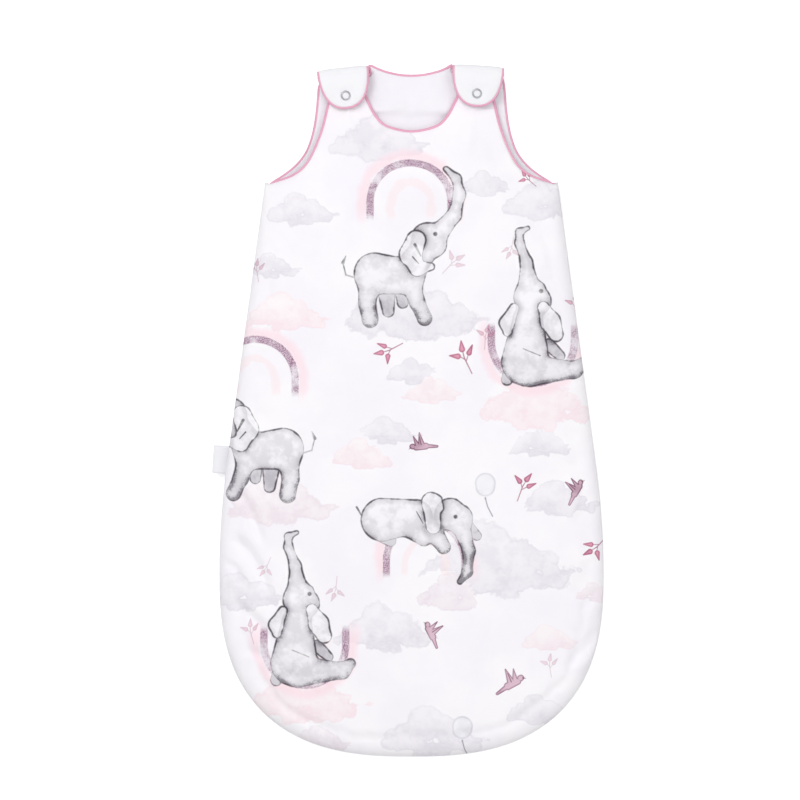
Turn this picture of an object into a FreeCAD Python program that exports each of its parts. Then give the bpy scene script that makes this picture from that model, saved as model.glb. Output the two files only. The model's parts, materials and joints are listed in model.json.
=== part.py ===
import FreeCAD, Part
import math
import os

# Sleeveless padded baby sleeping bag, lying on its back.
# Frame: +Z up, +Y towards the head, +X to the right as seen from above.
# Origin: middle of the overall length, on the centre line, in the plane that the back lies on.
# All sizes are in millimetres.

Vector = FreeCAD.Vector

# ---- driving dimensions of the cocoon, seen from above
HALF_WIDTH = 193.5
WIDEST_Y = -165.0
BOTTOM_Y = -350.0
ROUNDING = 2.6
SIDE_LEAN = math.radians(7.7)
ARMPIT_Y = 228.5
ARMPIT_HALF_WIDTH = 147.5
ARMHOLE_END_X = 143.0

# ---- thickness of the quilted layers
CLOTH = 0.8
BACK_THICKNESS = 6.0
SEAM_INSET = 6.0
SEAM_HEIGHT = 11.0
FRONT_WALL = 8.0
FRONT_TOP = 30.0
CAVITY_TOP = 20.0
FRONT_ROUNDING = 14.0
EDGE_ROUNDING = 4.0

# ---- shoulder stack: the front strap lies on the back strap, and the tab folds over both
STRAP_THICKNESS = 5.0
FRONT_STRAP_LOW = 7.1
TAB_LOW = 14.7
STRAP_FLAT_FROM_Y = 308.0
CHEST_FULL_FROM_Y = 215.0

# ---- the front's lining is two pieces: the chest's slopes up to the straps, the body's is level
YOKE_FROM_Y = 212.0

# ---- piping
PIPING_WIDTH = 3.0

# ---- shoulder tabs, one entry for each side: where the fold's outer edge is, and its turn
TAB_HALF_WIDTH = 26.3
TAB_REACH = 42.5
TAB_ROUNDING = 2.4
SNAP_DROP = 29.0
NECK_NOTCH = 2.5
SHOULDERS = {
    "left": {"centre": Vector(-69.6, 344.4, 0), "turn": 6.5},
    "right": {"centre": Vector(67.6, 346.6, 0), "turn": -3.5},
}

# ---- press studs
RING_RADIUS = 5.0
RING_HOLE_RADIUS = 3.3
SLEEVE_RADIUS = 3.8
RING_THICKNESS = 0.8
STUD_RADIUS = 2.0
STUD_HEIGHT = 1.5
STUD_BASE = 0.6
SOCKET_RADIUS = 2.6
SOCKET_THICKNESS = 1.8

# ---- zip, in the recess under the front's edge: right side and bottom
TAPE_THICKNESS = 0.7
TAPE_INSET = 3.6
TAPE_SEWN_FROM = 2.0
TAPE_SEWN_HEIGHT = 1.5
TEETH_THICKNESS = 1.2
TEETH_LOW = 6.4
TEETH_HEIGHT = 1.2
TEETH_GAP = 1.2
ZIP_START = 6.0
ZIP_END_X = -150.0
GARAGE_END = 4.5
GARAGE_FACE = 1.0
STOP_THICKNESS = 0.8
STOP_LENGTH = 3.0
STOP_GAP = 0.5
SLIDER_START = 15.0
SLIDER_LENGTH = 10.0
SLIDER_HEIGHT = 5.6
SLIDER_PLATE = 0.8
SLIDER_PLAY = 0.4
POST_THICKNESS = 0.6
PIN_RADIUS = 0.6
PIN_PLAY = 0.08
POST_LENGTH = 3.0
LUG_PLAY = 0.3
LUG_HALF_WIDTH = 1.0
PULLER_THICKNESS = 2.2
PULLER_HEIGHT = 3.6
PULLER_LENGTH = 22.0

# ---- side label, a folded loop of tape sewn into the left side
LABEL_LENGTH = 28.0
LABEL_REACH = 20.0
LABEL_Y = -52.0
LABEL_THICKNESS = 1.2
LABEL_TURN = -4.0

# ---- how finely the curves are followed
BOTTOM_STEPS = 24
TAB_STEPS = 12
SLOPE_STEPS = 8
PIPING_STEPS = 10
ROUNDING_STEPS = 3

# ---- derived
BIG = 420.0
BLOCK_LOW = -10.0
BLOCK_HIGH = 60.0
OVERCUT = 1.0
STRAPS_HALF_SPAN = 100.0
OPEN_TOP_Y = 349.0
FOLD_RADIUS = (TAB_LOW + STRAP_THICKNESS) / 2
HINGE_Z = FOLD_RADIUS
SIDE_RADIUS = (
    ((ARMPIT_Y - WIDEST_Y) * math.tan(SIDE_LEAN) - (HALF_WIDTH - ARMPIT_HALF_WIDTH))
    * math.cos(SIDE_LEAN)
    / (1 - math.cos(SIDE_LEAN))
)


def point(x, y):
    """A point of a flat outline."""
    return Vector(x, y, 0)


def line(a, b):
    """A straight edge."""
    return Part.LineSegment(a, b).toShape()


def curve(points):
    """A smooth edge through the points."""
    spline = Part.BSplineCurve()
    spline.interpolate(points)
    return spline.toShape()


def side_x(y, inset):
    """Half-width of the straight stretch of the side at a height y."""
    return ARMPIT_HALF_WIDTH + (ARMPIT_Y - y) * math.tan(SIDE_LEAN) - inset / math.cos(SIDE_LEAN)


def lower_edges(inset, top_y):
    """The cocoon's edges from the right side at top_y, round the bottom, to the left side."""
    centre_x = HALF_WIDTH - SIDE_RADIUS
    radius = SIDE_RADIUS - inset

    def arc_point(angle):
        return point(centre_x + radius * math.cos(angle), WIDEST_Y + radius * math.sin(angle))

    widest = arc_point(0)
    arc_end = arc_point(SIDE_LEAN)
    right_line = line(point(side_x(top_y, inset), top_y), arc_end)
    right_arc = Part.Arc(arc_end, arc_point(SIDE_LEAN / 2), widest).toShape()
    half_width = HALF_WIDTH - inset
    depth = WIDEST_Y - BOTTOM_Y - inset
    bottom = []
    for step in range(BOTTOM_STEPS + 1):
        angle = math.pi * step / BOTTOM_STEPS
        across = math.cos(angle)
        down = math.sin(angle)
        x = math.copysign(half_width * abs(across) ** (2 / ROUNDING), across)
        bottom.append(point(x, WIDEST_Y - depth * down ** (2 / ROUNDING)))
    bottom[0] = widest
    bottom[-1] = point(-widest.x, widest.y)
    bottom_edge = curve(bottom)
    left_arc = Part.Arc(
        point(-widest.x, widest.y),
        point(-arc_point(SIDE_LEAN / 2).x, arc_point(SIDE_LEAN / 2).y),
        point(-arc_end.x, arc_end.y),
    ).toShape()
    left_line = line(point(-arc_end.x, arc_end.y), point(-side_x(top_y, inset), top_y))
    return [right_line, right_arc, bottom_edge, left_arc, left_line]


def prism(edges, low, high):
    """A flat outline raised from low to high."""
    face = Part.Face(Part.Wire(Part.sortEdges(edges)[0]))
    face.translate(Vector(0, 0, low))
    return face.extrude(Vector(0, 0, high - low))


def cocoon(inset, low, high, top_y=OPEN_TOP_Y):
    """The cocoon without neck and armholes: its sides run straight on to top_y."""
    edges = lower_edges(inset, top_y)
    edges.append(line(point(-side_x(top_y, inset), top_y), point(side_x(top_y, inset), top_y)))
    return prism(edges, low, high)


def mirrored(points):
    """The points on the other side of the centre line, in reverse order."""
    return [point(-p.x, p.y) for p in reversed(points)]


def back_outline():
    """The points of the back's right armhole, from the armpit up, and of its neck."""
    armhole = [
        point(ARMHOLE_END_X, ARMPIT_Y),
        point(121, 243),
        point(106, 262),
        point(98.5, 288),
        point(95.5, 314),
        point(94.5, 336),
    ]
    neck = [point(41.5, 348), point(26, 341.5), point(0, 337.5), point(-26, 341.5), point(-41.5, 348)]
    return armhole, neck


def front_outline():
    """The points of the front's right armhole, its rounded strap end under the tab, and its neck."""
    armhole = [
        point(ARMHOLE_END_X, ARMPIT_Y),
        point(119, 237),
        point(104.5, 251),
        point(92, 280),
        point(85, 308),
    ]
    strap_end = [point(85, 308), point(80, 324), point(65, 331), point(50, 325), point(43.5, 312)]
    neck = [
        point(43.5, 312),
        point(35, 296),
        point(24, 286),
        point(0, 281),
        point(-24, 286),
        point(-35, 296),
        point(-43.5, 312),
    ]
    return armhole, strap_end, neck


def seam_corner(inset, side):
    """The short edge between the armhole's end and the side."""
    return line(point(side * side_x(ARMPIT_Y, inset), ARMPIT_Y), point(side * ARMHOLE_END_X, ARMPIT_Y))


def back_upper_edges():
    """The back's edges from the right armhole's end, over the neck, to the left one's."""
    armhole, neck = back_outline()
    edges = [curve(armhole), curve(mirrored(armhole)), curve(neck)]
    for side in (1, -1):
        edges.append(line(point(side * armhole[-1].x, armhole[-1].y), point(side * neck[0].x, neck[0].y)))
    return edges


def front_upper_edges():
    """The front's edges from the right armhole's end, over the neck, to the left one's."""
    armhole, strap_end, neck = front_outline()
    edges = [curve(armhole), curve(mirrored(armhole)), curve(neck)]
    return edges + [curve(strap_end), curve(mirrored(strap_end))]


def panel_prism(upper_edges, inset, low, high):
    """The whole outline of a panel, raised from low to high."""
    edges = upper_edges + lower_edges(inset, ARMPIT_Y)
    edges += [seam_corner(inset, 1), seam_corner(inset, -1)]
    return prism(edges, low, high)


def piping_band(points, low, high):
    """A band of the piping's width along the inside (the left) of an edge through the points."""
    edge = curve(points)
    first, last = edge.ParameterRange
    inner_points = []
    for step in range(PIPING_STEPS + 1):
        place = first + (last - first) * step / PIPING_STEPS
        along = edge.tangentAt(place)
        inner_points.append(edge.valueAt(place) + Vector(-along.y, along.x, 0) * PIPING_WIDTH)
    inner = curve(inner_points)
    ends = [line(points[0], inner_points[0]), line(points[-1], inner_points[-1])]
    return prism([edge, inner] + ends, low, high).common(block(-BIG, BIG, ARMPIT_Y, BIG))


def piping_bands(panel, armhole, neck, low, high):
    """The three bands of a panel, by node name."""
    return {
        panel + "_neck_piping": piping_band(neck, low, high),
        panel + "_armhole_piping_right": piping_band(armhole, low, high),
        panel + "_armhole_piping_left": piping_band(mirrored(armhole), low, high),
    }


def block(x_low, x_high, y_low, y_high, z_low=BLOCK_LOW, z_high=BLOCK_HIGH):
    """An upright block between two corners."""
    return Part.makeBox(x_high - x_low, y_high - y_low, z_high - z_low, Vector(x_low, y_low, z_low))


def under_profile(strap_z, chest_z):
    """Everything below a surface that runs level over the chest and sinks towards the straps."""
    slope = []
    for step in range(SLOPE_STEPS + 1):
        share = step / SLOPE_STEPS
        y = STRAP_FLAT_FROM_Y + share * (CHEST_FULL_FROM_Y - STRAP_FLAT_FROM_Y)
        rise = (1 - math.cos(math.pi * share)) / 2
        slope.append(Vector(-BIG, y, strap_z + rise * (chest_z - strap_z)))
    far = Vector(-BIG, BIG, strap_z)
    foot = Vector(-BIG, -BIG, chest_z)
    floor_far = Vector(-BIG, BIG, BLOCK_LOW)
    floor_foot = Vector(-BIG, -BIG, BLOCK_LOW)
    edges = [
        line(far, slope[0]),
        curve(slope),
        line(slope[-1], foot),
        line(foot, floor_foot),
        line(floor_foot, floor_far),
        line(floor_far, far),
    ]
    return Part.Face(Part.Wire(edges)).extrude(Vector(2 * BIG, 0, 0))


def cocoon_wire(inset, height):
    """The cocoon's closed outline at a height."""
    edges = lower_edges(inset, OPEN_TOP_Y)
    half_width = side_x(OPEN_TOP_Y, inset)
    edges.append(line(point(-half_width, OPEN_TOP_Y), point(half_width, OPEN_TOP_Y)))
    wire = Part.Wire(edges)
    wire.translate(Vector(0, 0, height))
    return wire


def front_surface(depth, low):
    """The solid under the front quilt's surface at a depth from its outside."""
    whole = FRONT_TOP - CAVITY_TOP
    inset = FRONT_WALL * depth / whole
    top = FRONT_TOP - depth
    upper = FRONT_ROUNDING - inset
    lower = max(EDGE_ROUNDING - inset, 0)
    rim = []
    if lower > 0:
        rim.append((inset + lower, low))
    rim.append((inset, low + lower))
    for step in range(ROUNDING_STEPS + 1):
        angle = math.pi / 2 * step / ROUNDING_STEPS
        rim.append((inset + upper * (1 - math.cos(angle)), top - upper * (1 - math.sin(angle))))
    solid = Part.makeLoft([cocoon_wire(*place) for place in rim], True, True)
    strap_z = FRONT_STRAP_LOW + STRAP_THICKNESS * (1 - depth / whole)
    return solid.common(under_profile(strap_z, top))


def placed_on_shoulder(shape, side):
    """Moves a shape from a tab's own frame (fold's outer edge on the X axis) to its shoulder."""
    shoulder = SHOULDERS[side]
    shape.rotate(Vector(0, 0, 0), Vector(0, 0, 1), shoulder["turn"])
    shape.translate(shoulder["centre"])
    return shape


def snap_place(side, z):
    """A point on the press stud's axis."""
    shape = Part.Vertex(Vector(0, -SNAP_DROP, z))
    return placed_on_shoulder(shape, side).Point


def disc(centre, radius, height):
    """An upright disc standing on its centre point."""
    return Part.makeCylinder(radius, height, centre)


def ring(centre, outer, inner, height):
    """An upright ring standing on its centre point."""
    return disc(centre, outer, height).cut(disc(centre, inner, height))


def tab_prism(inset, low, high):
    """The tab's outline in its own frame: straight at the hinge, with a rounded free end."""
    points = []
    half_width = TAB_HALF_WIDTH - inset
    reach = TAB_REACH - inset
    for step in range(TAB_STEPS + 1):
        angle = math.pi * step / TAB_STEPS
        across = math.cos(angle)
        x = math.copysign(half_width * abs(across) ** (2 / TAB_ROUNDING), across)
        points.append(point(x, -reach * math.sin(angle) ** (2 / TAB_ROUNDING)))
    points[0] = point(half_width, 0)
    points[-1] = point(-half_width, 0)
    whole = prism([curve(points), line(points[-1], points[0])], low, high)
    return whole.common(block(-BIG, BIG, -BIG, -FOLD_RADIUS))


def layers(low, high):
    """The heights of the cloth, filling and lining from the outside (high) to the inside (low)."""
    return {
        "outer": (high - CLOTH, high),
        "filling": (low + CLOTH, high - CLOTH),
        "lining": (low, low + CLOTH),
    }


def make_back():
    """The back quilt as three layers, and its turned-up edge, open at the neck and the armholes."""
    hinge_cut = None
    for side in SHOULDERS:
        cut = block(-TAB_HALF_WIDTH - NECK_NOTCH, BIG, -FOLD_RADIUS, BIG)
        if side == "left":
            cut = block(-BIG, TAB_HALF_WIDTH + NECK_NOTCH, -FOLD_RADIUS, BIG)
        cut = placed_on_shoulder(cut, side)
        hinge_cut = cut if hinge_cut is None else hinge_cut.fuse(cut)
    outline = panel_prism(back_upper_edges(), SEAM_INSET, 0, SEAM_HEIGHT).cut(hinge_cut)
    armhole, neck = back_outline()
    made = {}
    for name, band in piping_bands("back", armhole, neck, 0, BACK_THICKNESS).items():
        made[name] = band.cut(hinge_cut)
        outline = outline.cut(made[name])

    def tray(depth):
        """The inside of the back's tray shape at a depth from its outside."""
        return cocoon(SEAM_INSET + depth, depth, SEAM_HEIGHT + OVERCUT)

    steps = [0, CLOTH, BACK_THICKNESS - CLOTH, BACK_THICKNESS]
    turned_up = block(-BIG, BIG, -BIG, BIG, BACK_THICKNESS, BIG)
    for name, outside, inside in zip(("outer_panel", "filling", "lining"), steps[:-1], steps[1:]):
        walls = tray(outside).common(outline)
        made["back_" + name] = walls.cut(tray(inside)).cut(turned_up)
    made["back_edge_roll"] = tray(0).common(outline).cut(tray(BACK_THICKNESS)).common(turned_up)
    return made


def make_front():
    """The front quilt as three layers, its turned-down edge and its chest lining, with the piping set in."""
    depths = [0, CLOTH, FRONT_TOP - CAVITY_TOP - CLOTH, FRONT_TOP - CAVITY_TOP]
    surfaces = [front_surface(depth, SEAM_HEIGHT) for depth in depths]
    straps_from = FRONT_STRAP_LOW - STRAP_THICKNESS
    straps_to = SEAM_HEIGHT + OVERCUT
    straps_low = block(-STRAPS_HALF_SPAN, STRAPS_HALF_SPAN, ARMPIT_Y, BIG, straps_from, straps_to)
    for index, depth in enumerate(depths):
        strap_z = FRONT_STRAP_LOW + STRAP_THICKNESS - depth * STRAP_THICKNESS / (FRONT_TOP - CAVITY_TOP)
        low_part = straps_low.common(under_profile(strap_z, FRONT_TOP - depth))
        surfaces[index] = surfaces[index].fuse(low_part)
    outline = panel_prism(front_upper_edges(), 0, 0, BLOCK_HIGH)
    whole = surfaces[0].cut(surfaces[3])
    armhole, _, neck = front_outline()
    made = {}
    for name, band in piping_bands("front", armhole, neck, 0, BLOCK_HIGH).items():
        outline = outline.cut(band)
        made[name] = band.common(whole)
    for side in SHOULDERS:
        outline = outline.cut(disc(snap_place(side, 0), SLEEVE_RADIUS, BIG))
    turned_down = cocoon(-CLOTH, SEAM_HEIGHT - CLOTH, CAVITY_TOP, ARMPIT_Y)
    turned_down = turned_down.cut(cocoon(FRONT_WALL, 0, FRONT_TOP, OPEN_TOP_Y))
    names = ("front_outer_panel", "front_filling", "front_lining")
    for index, name in enumerate(names):
        made[name] = surfaces[index].cut(surfaces[index + 1]).common(outline).cut(turned_down)
    made["front_edge_roll"] = whole.common(outline).common(turned_down)
    yoke = block(-BIG, BIG, YOKE_FROM_Y, BIG)
    made["front_yoke_lining"] = made["front_lining"].common(yoke)
    made["front_lining"] = made["front_lining"].cut(yoke)
    return made


def make_tab(side):
    """One shoulder tab: two cloths, filling, piping, and the fold that joins it to the back."""
    made = {}
    sleeve_hole = disc(Vector(0, -SNAP_DROP, 0), SLEEVE_RADIUS, BIG)
    for name, (low, high) in layers(TAB_LOW, TAB_LOW + STRAP_THICKNESS).items():
        made["tab_" + name] = tab_prism(PIPING_WIDTH, low, high).cut(sleeve_hole)
    rim = tab_prism(0, TAB_LOW, TAB_LOW + STRAP_THICKNESS)
    made["tab_piping"] = rim.cut(tab_prism(PIPING_WIDTH, TAB_LOW, TAB_LOW + STRAP_THICKNESS))
    fold_axis = Vector(1, 0, 0)
    fold_at = Vector(-TAB_HALF_WIDTH, -FOLD_RADIUS, HINGE_Z)
    roll = Part.makeCylinder(FOLD_RADIUS, 2 * TAB_HALF_WIDTH, fold_at, fold_axis)
    core = Part.makeCylinder(FOLD_RADIUS - STRAP_THICKNESS, 2 * TAB_HALF_WIDTH, fold_at, fold_axis)
    made["shoulder_fold"] = roll.cut(core).common(block(-BIG, BIG, -FOLD_RADIUS, BIG))
    placed = {}
    for name, shape in made.items():
        placed[name + "_" + side] = placed_on_shoulder(shape, side)
    return placed


def make_snap(side):
    """One press stud: ring and socket on the tab, stud and ring on the front strap."""
    tab_top = snap_place(side, TAB_LOW + STRAP_THICKNESS)
    tab_under = snap_place(side, TAB_LOW)
    strap_top = snap_place(side, FRONT_STRAP_LOW + STRAP_THICKNESS)
    strap_under = snap_place(side, FRONT_STRAP_LOW)
    down = Vector(0, 0, -1)
    cap = ring(tab_top, RING_RADIUS, RING_HOLE_RADIUS, RING_THICKNESS)
    cap = cap.fuse(ring(tab_under, SLEEVE_RADIUS, RING_HOLE_RADIUS, STRAP_THICKNESS))
    socket_low = tab_under + down * SOCKET_THICKNESS
    socket = ring(socket_low, RING_RADIUS, SOCKET_RADIUS, SOCKET_THICKNESS)
    stud = disc(strap_top, RING_RADIUS, STUD_BASE)
    stud = stud.fuse(disc(strap_top, STUD_RADIUS, STUD_BASE + STUD_HEIGHT))
    back_ring = ring(strap_under + down * RING_THICKNESS, RING_RADIUS, RING_HOLE_RADIUS, RING_THICKNESS)
    back_ring = back_ring.fuse(ring(strap_under, SLEEVE_RADIUS, RING_HOLE_RADIUS, STRAP_THICKNESS))
    return {
        "snap_cap_" + side: cap,
        "snap_socket_" + side: socket,
        "snap_stud_" + side: stud,
        "snap_stud_ring_" + side: back_ring,
    }


def zip_band(outer_inset, thickness, low, high):
    """A band that stands along the right side and the bottom, over the zip's whole length."""
    top_y = ARMPIT_Y - ZIP_START
    inside = cocoon(outer_inset + thickness, low, high, top_y + OVERCUT)
    band = cocoon(outer_inset, low, high, top_y).cut(inside)
    right = block(0, BIG, -BIG, top_y)
    left = block(ZIP_END_X, 0, -BIG, WIDEST_Y)
    return band.common(right.fuse(left))


def on_side_line(shape, distance):
    """Moves a shape from the zip's own frame (+X outwards, -Y along the zip) to the right side."""
    shape.rotate(Vector(0, 0, 0), Vector(0, 0, 1), math.degrees(SIDE_LEAN))
    y = ARMPIT_Y - distance * math.cos(SIDE_LEAN)
    shape.translate(Vector(side_x(y, 0), y, 0))
    return shape


def make_zip():
    """The zip's tapes, teeth, stops, slider and puller."""
    upper_low = TEETH_LOW + TEETH_HEIGHT + TEETH_GAP
    teeth_inset = TAPE_INSET - (TEETH_THICKNESS - TAPE_THICKNESS) / 2
    wall_gap = SEAM_INSET - TAPE_INSET
    back_tape = zip_band(TAPE_INSET, TAPE_THICKNESS, TAPE_SEWN_FROM, TEETH_LOW)
    sewn = zip_band(TAPE_INSET, wall_gap, TAPE_SEWN_FROM, TAPE_SEWN_FROM + TAPE_SEWN_HEIGHT)
    front_tape = zip_band(TAPE_INSET, TAPE_THICKNESS, upper_low + TEETH_HEIGHT, SEAM_HEIGHT)
    made = {
        "zip_tape_back": back_tape.fuse(sewn),
        "zip_tape_front": front_tape,
        "zip_teeth_back": zip_band(teeth_inset, TEETH_THICKNESS, TEETH_LOW, TEETH_LOW + TEETH_HEIGHT),
        "zip_teeth_front": zip_band(teeth_inset, TEETH_THICKNESS, upper_low, upper_low + TEETH_HEIGHT),
    }
    chain_x = -(TAPE_INSET + TAPE_THICKNESS / 2)
    chain_z = TEETH_LOW + TEETH_HEIGHT + TEETH_GAP / 2
    garage = block(-SEAM_INSET, -GARAGE_FACE, -GARAGE_END, 0, TAPE_SEWN_FROM, SEAM_HEIGHT)
    made["zip_garage"] = on_side_line(garage, 0)
    stop = block(
        chain_x + TEETH_THICKNESS / 2,
        chain_x + TEETH_THICKNESS / 2 + STOP_THICKNESS,
        -STOP_LENGTH,
        0,
        TEETH_LOW,
        upper_low + TEETH_HEIGHT,
    )
    made["zip_top_stop"] = on_side_line(stop, ZIP_START + STOP_GAP)
    end_share = (1 - abs(ZIP_END_X / HALF_WIDTH) ** ROUNDING) ** (1 / ROUNDING)
    end_y = WIDEST_Y - (WIDEST_Y - BOTTOM_Y) * end_share
    chain_end = zip_band(teeth_inset - STOP_THICKNESS, STOP_THICKNESS, TEETH_LOW, upper_low + TEETH_HEIGHT)
    around_end = block(ZIP_END_X, ZIP_END_X + STOP_LENGTH, end_y - TAB_REACH, end_y + TAB_REACH)
    made["zip_bottom_stop"] = chain_end.common(around_end)

    half_gap = TEETH_THICKNESS / 2 + SLIDER_PLAY
    low = chain_z - SLIDER_HEIGHT / 2
    high = chain_z + SLIDER_HEIGHT / 2
    half_length = SLIDER_LENGTH / 2
    inner_x = chain_x - half_gap
    outer_x = chain_x + half_gap
    inner = block(inner_x - SLIDER_PLATE, inner_x, -half_length, half_length, low, high)
    outer = block(outer_x, outer_x + SLIDER_PLATE, -half_length, half_length, low, high)
    post = block(
        chain_x - half_gap,
        chain_x + half_gap,
        half_length - POST_LENGTH,
        half_length,
        chain_z - POST_THICKNESS / 2,
        chain_z + POST_THICKNESS / 2,
    )
    plate_face = chain_x + half_gap + SLIDER_PLATE
    pin_x = plate_face + PULLER_THICKNESS / 2 + LUG_PLAY
    pin = Part.makeCylinder(PIN_RADIUS, SLIDER_HEIGHT, Vector(pin_x, 0, low))
    slider = inner.fuse(outer).fuse(post).fuse(pin)
    lug = (SLIDER_HEIGHT - PULLER_HEIGHT) / 2 - LUG_PLAY
    for lug_low in (low, high - lug):
        lug_at = (plate_face, pin_x + PIN_RADIUS, -LUG_HALF_WIDTH, LUG_HALF_WIDTH)
        slider = slider.fuse(block(*lug_at, lug_low, lug_low + lug))
    made["zip_slider"] = on_side_line(slider, SLIDER_START)

    puller_low = chain_z - PULLER_HEIGHT / 2
    eye = Part.makeCylinder(PULLER_THICKNESS / 2, PULLER_HEIGHT, Vector(pin_x, 0, puller_low))
    grip_half = PULLER_THICKNESS / 3
    puller_high = puller_low + PULLER_HEIGHT
    grip = block(pin_x - grip_half, pin_x + grip_half, -PULLER_LENGTH, 0, puller_low, puller_high)
    bore = Part.makeCylinder(PIN_RADIUS + PIN_PLAY, BIG, Vector(pin_x, 0, -BIG / 2))
    made["zip_puller"] = on_side_line(eye.fuse(grip).cut(bore), SLIDER_START)
    pin_place = on_side_line(Part.Vertex(Vector(pin_x, 0, chain_z)), SLIDER_START).Point
    return made, pin_place


def make_label():
    """The blank loop label that stands out of the left side."""
    label = block(-LABEL_REACH, 0, -LABEL_LENGTH / 2, LABEL_LENGTH / 2, 0, LABEL_THICKNESS)
    label.rotate(Vector(0, 0, 0), Vector(0, 0, 1), LABEL_TURN)
    label.translate(Vector(-side_x(LABEL_Y, SEAM_INSET), LABEL_Y, SEAM_HEIGHT - LABEL_THICKNESS))
    return {"side_label": label.cut(cocoon(SEAM_INSET, -OVERCUT, FRONT_TOP))}


def main():
    """Makes every piece and writes one file for each."""
    pieces = {}
    pieces.update(make_back())
    pieces.update(make_front())
    for side in SHOULDERS:
        pieces.update(make_tab(side))
        pieces.update(make_snap(side))
    zip_pieces, pin_place = make_zip()
    pieces.update(zip_pieces)
    pieces.update(make_label())
    os.makedirs("parts", exist_ok=True)
    for name, shape in pieces.items():
        solids = shape.Solids
        shape = solids[0] if len(solids) == 1 else Part.makeCompound(solids)
        shape.exportStep("parts/" + name + ".step")
        box = shape.BoundBox
        print(
            f"{name:28s} solids {len(solids)} valid {shape.isValid()} volume {shape.Volume:10.1f}"
            f"  x {box.XMin:7.1f} {box.XMax:7.1f}  y {box.YMin:7.1f} {box.YMax:7.1f}"
            f"  z {box.ZMin:5.1f} {box.ZMax:5.1f}"
        )
    for side in SHOULDERS:
        hinge = placed_on_shoulder(Part.Vertex(Vector(0, -FOLD_RADIUS, HINGE_Z)), side).Point
        print("hinge", side, hinge, "turn", SHOULDERS[side]["turn"])
    print("puller pin", pin_place, "side lean in degrees", math.degrees(SIDE_LEAN))


main()
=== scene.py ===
"""Looks of a padded baby sleeping bag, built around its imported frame.

Units are metres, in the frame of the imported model: +Z up out of the front, +Y towards the head.
"""

import json
import logging
import math
from dataclasses import dataclass, field
from enum import Enum
from typing import Callable, Iterable, Sequence

import bmesh
import bpy
import numpy as np
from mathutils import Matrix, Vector, noise
from mathutils.geometry import delaunay_2d_cdt


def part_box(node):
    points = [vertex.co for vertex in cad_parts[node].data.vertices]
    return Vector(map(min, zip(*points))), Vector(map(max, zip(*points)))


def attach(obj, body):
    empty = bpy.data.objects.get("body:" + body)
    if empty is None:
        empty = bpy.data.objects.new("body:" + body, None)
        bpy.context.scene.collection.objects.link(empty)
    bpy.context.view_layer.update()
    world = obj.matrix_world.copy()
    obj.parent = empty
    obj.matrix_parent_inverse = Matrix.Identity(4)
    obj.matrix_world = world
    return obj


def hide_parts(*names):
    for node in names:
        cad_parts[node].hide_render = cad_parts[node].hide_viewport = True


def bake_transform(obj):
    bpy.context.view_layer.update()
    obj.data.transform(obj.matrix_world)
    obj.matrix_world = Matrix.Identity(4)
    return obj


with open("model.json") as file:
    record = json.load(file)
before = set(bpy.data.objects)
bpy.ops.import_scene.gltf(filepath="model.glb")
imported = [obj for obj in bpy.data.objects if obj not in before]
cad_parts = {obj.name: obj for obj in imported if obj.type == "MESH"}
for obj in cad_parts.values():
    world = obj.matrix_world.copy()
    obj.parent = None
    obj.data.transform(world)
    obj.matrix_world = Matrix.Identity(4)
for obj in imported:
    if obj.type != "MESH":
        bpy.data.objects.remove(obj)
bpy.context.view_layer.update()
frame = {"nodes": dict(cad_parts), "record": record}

LOG = logging.getLogger("sleeping_bag")
MM = 0.001
TUBE_SIDES = 10
THREADS_PER_MM = 2.6
TURN_PER_MM = 2 * math.pi / MM


# ---------------------------------------------------------------------------------------------
# Named options and small geometry helpers
# ---------------------------------------------------------------------------------------------


class Side(Enum):
    """The two sides of the bag, as seen from above."""

    LEFT = "left"
    RIGHT = "right"

    @property
    def sign(self) -> int:
        """-1 on the left and 1 on the right."""
        return -1 if self is Side.LEFT else 1


class Edge(Enum):
    """What finishes a stretch of a panel's edge."""

    HEM = 0
    PIPED = 1
    CUT = 2


def smooth_step(share: np.ndarray) -> np.ndarray:
    """0 below 0, 1 above 1, and a soft rise between."""
    share = np.clip(share, 0.0, 1.0)
    return share * share * (3.0 - 2.0 * share)


def round_over(distance: np.ndarray, radius: float) -> np.ndarray:
    """0 at an edge, rising to 1 at the radius like a quarter circle."""
    share = np.clip(distance / radius, 0.0, 1.0)
    return np.sqrt(np.maximum(1.0 - (1.0 - share) ** 2, 0.0))


def resample(points: np.ndarray, spacing: float) -> np.ndarray:
    """Points at an even spacing along a polyline.

    Args:
        points: the polyline's points, one row each.
        spacing: the wanted distance between points.

    Returns:
        The new points, with the first and last kept.
    """
    steps = np.linalg.norm(np.diff(points, axis=0), axis=1)
    along = np.concatenate([[0.0], np.cumsum(steps)])
    count = max(int(round(along[-1] / spacing)), 2)
    places = np.linspace(0.0, along[-1], count + 1)
    return np.stack([np.interp(places, along, points[:, axis]) for axis in range(points.shape[1])], axis=1)


def smooth_curve(points: Sequence[Sequence[float]], spacing: float) -> np.ndarray:
    """A smooth curve through the points, evenly sampled.

    Args:
        points: the points that the curve goes through.
        spacing: the distance between the samples.

    Returns:
        The samples, one row each.
    """
    knots = np.array(points, float)
    knots = np.vstack([2 * knots[0] - knots[1], knots, 2 * knots[-1] - knots[-2]])
    found = []
    for index in range(1, len(knots) - 2):
        before, start, end, after = knots[index - 1 : index + 3]
        for share in np.linspace(0.0, 1.0, 12, endpoint=False):
            linear = end - before
            square = 2 * before - 5 * start + 4 * end - after
            cube = 3 * start - before - 3 * end + after
            found.append(0.5 * (2 * start + linear * share + square * share**2 + cube * share**3))
    found.append(knots[-2])
    return resample(np.array(found), spacing)


def mirrored(points: np.ndarray) -> np.ndarray:
    """The points on the other side of the centre line, in reverse order."""
    return points[::-1] * np.array([-1.0] + [1.0] * (points.shape[1] - 1))


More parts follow.
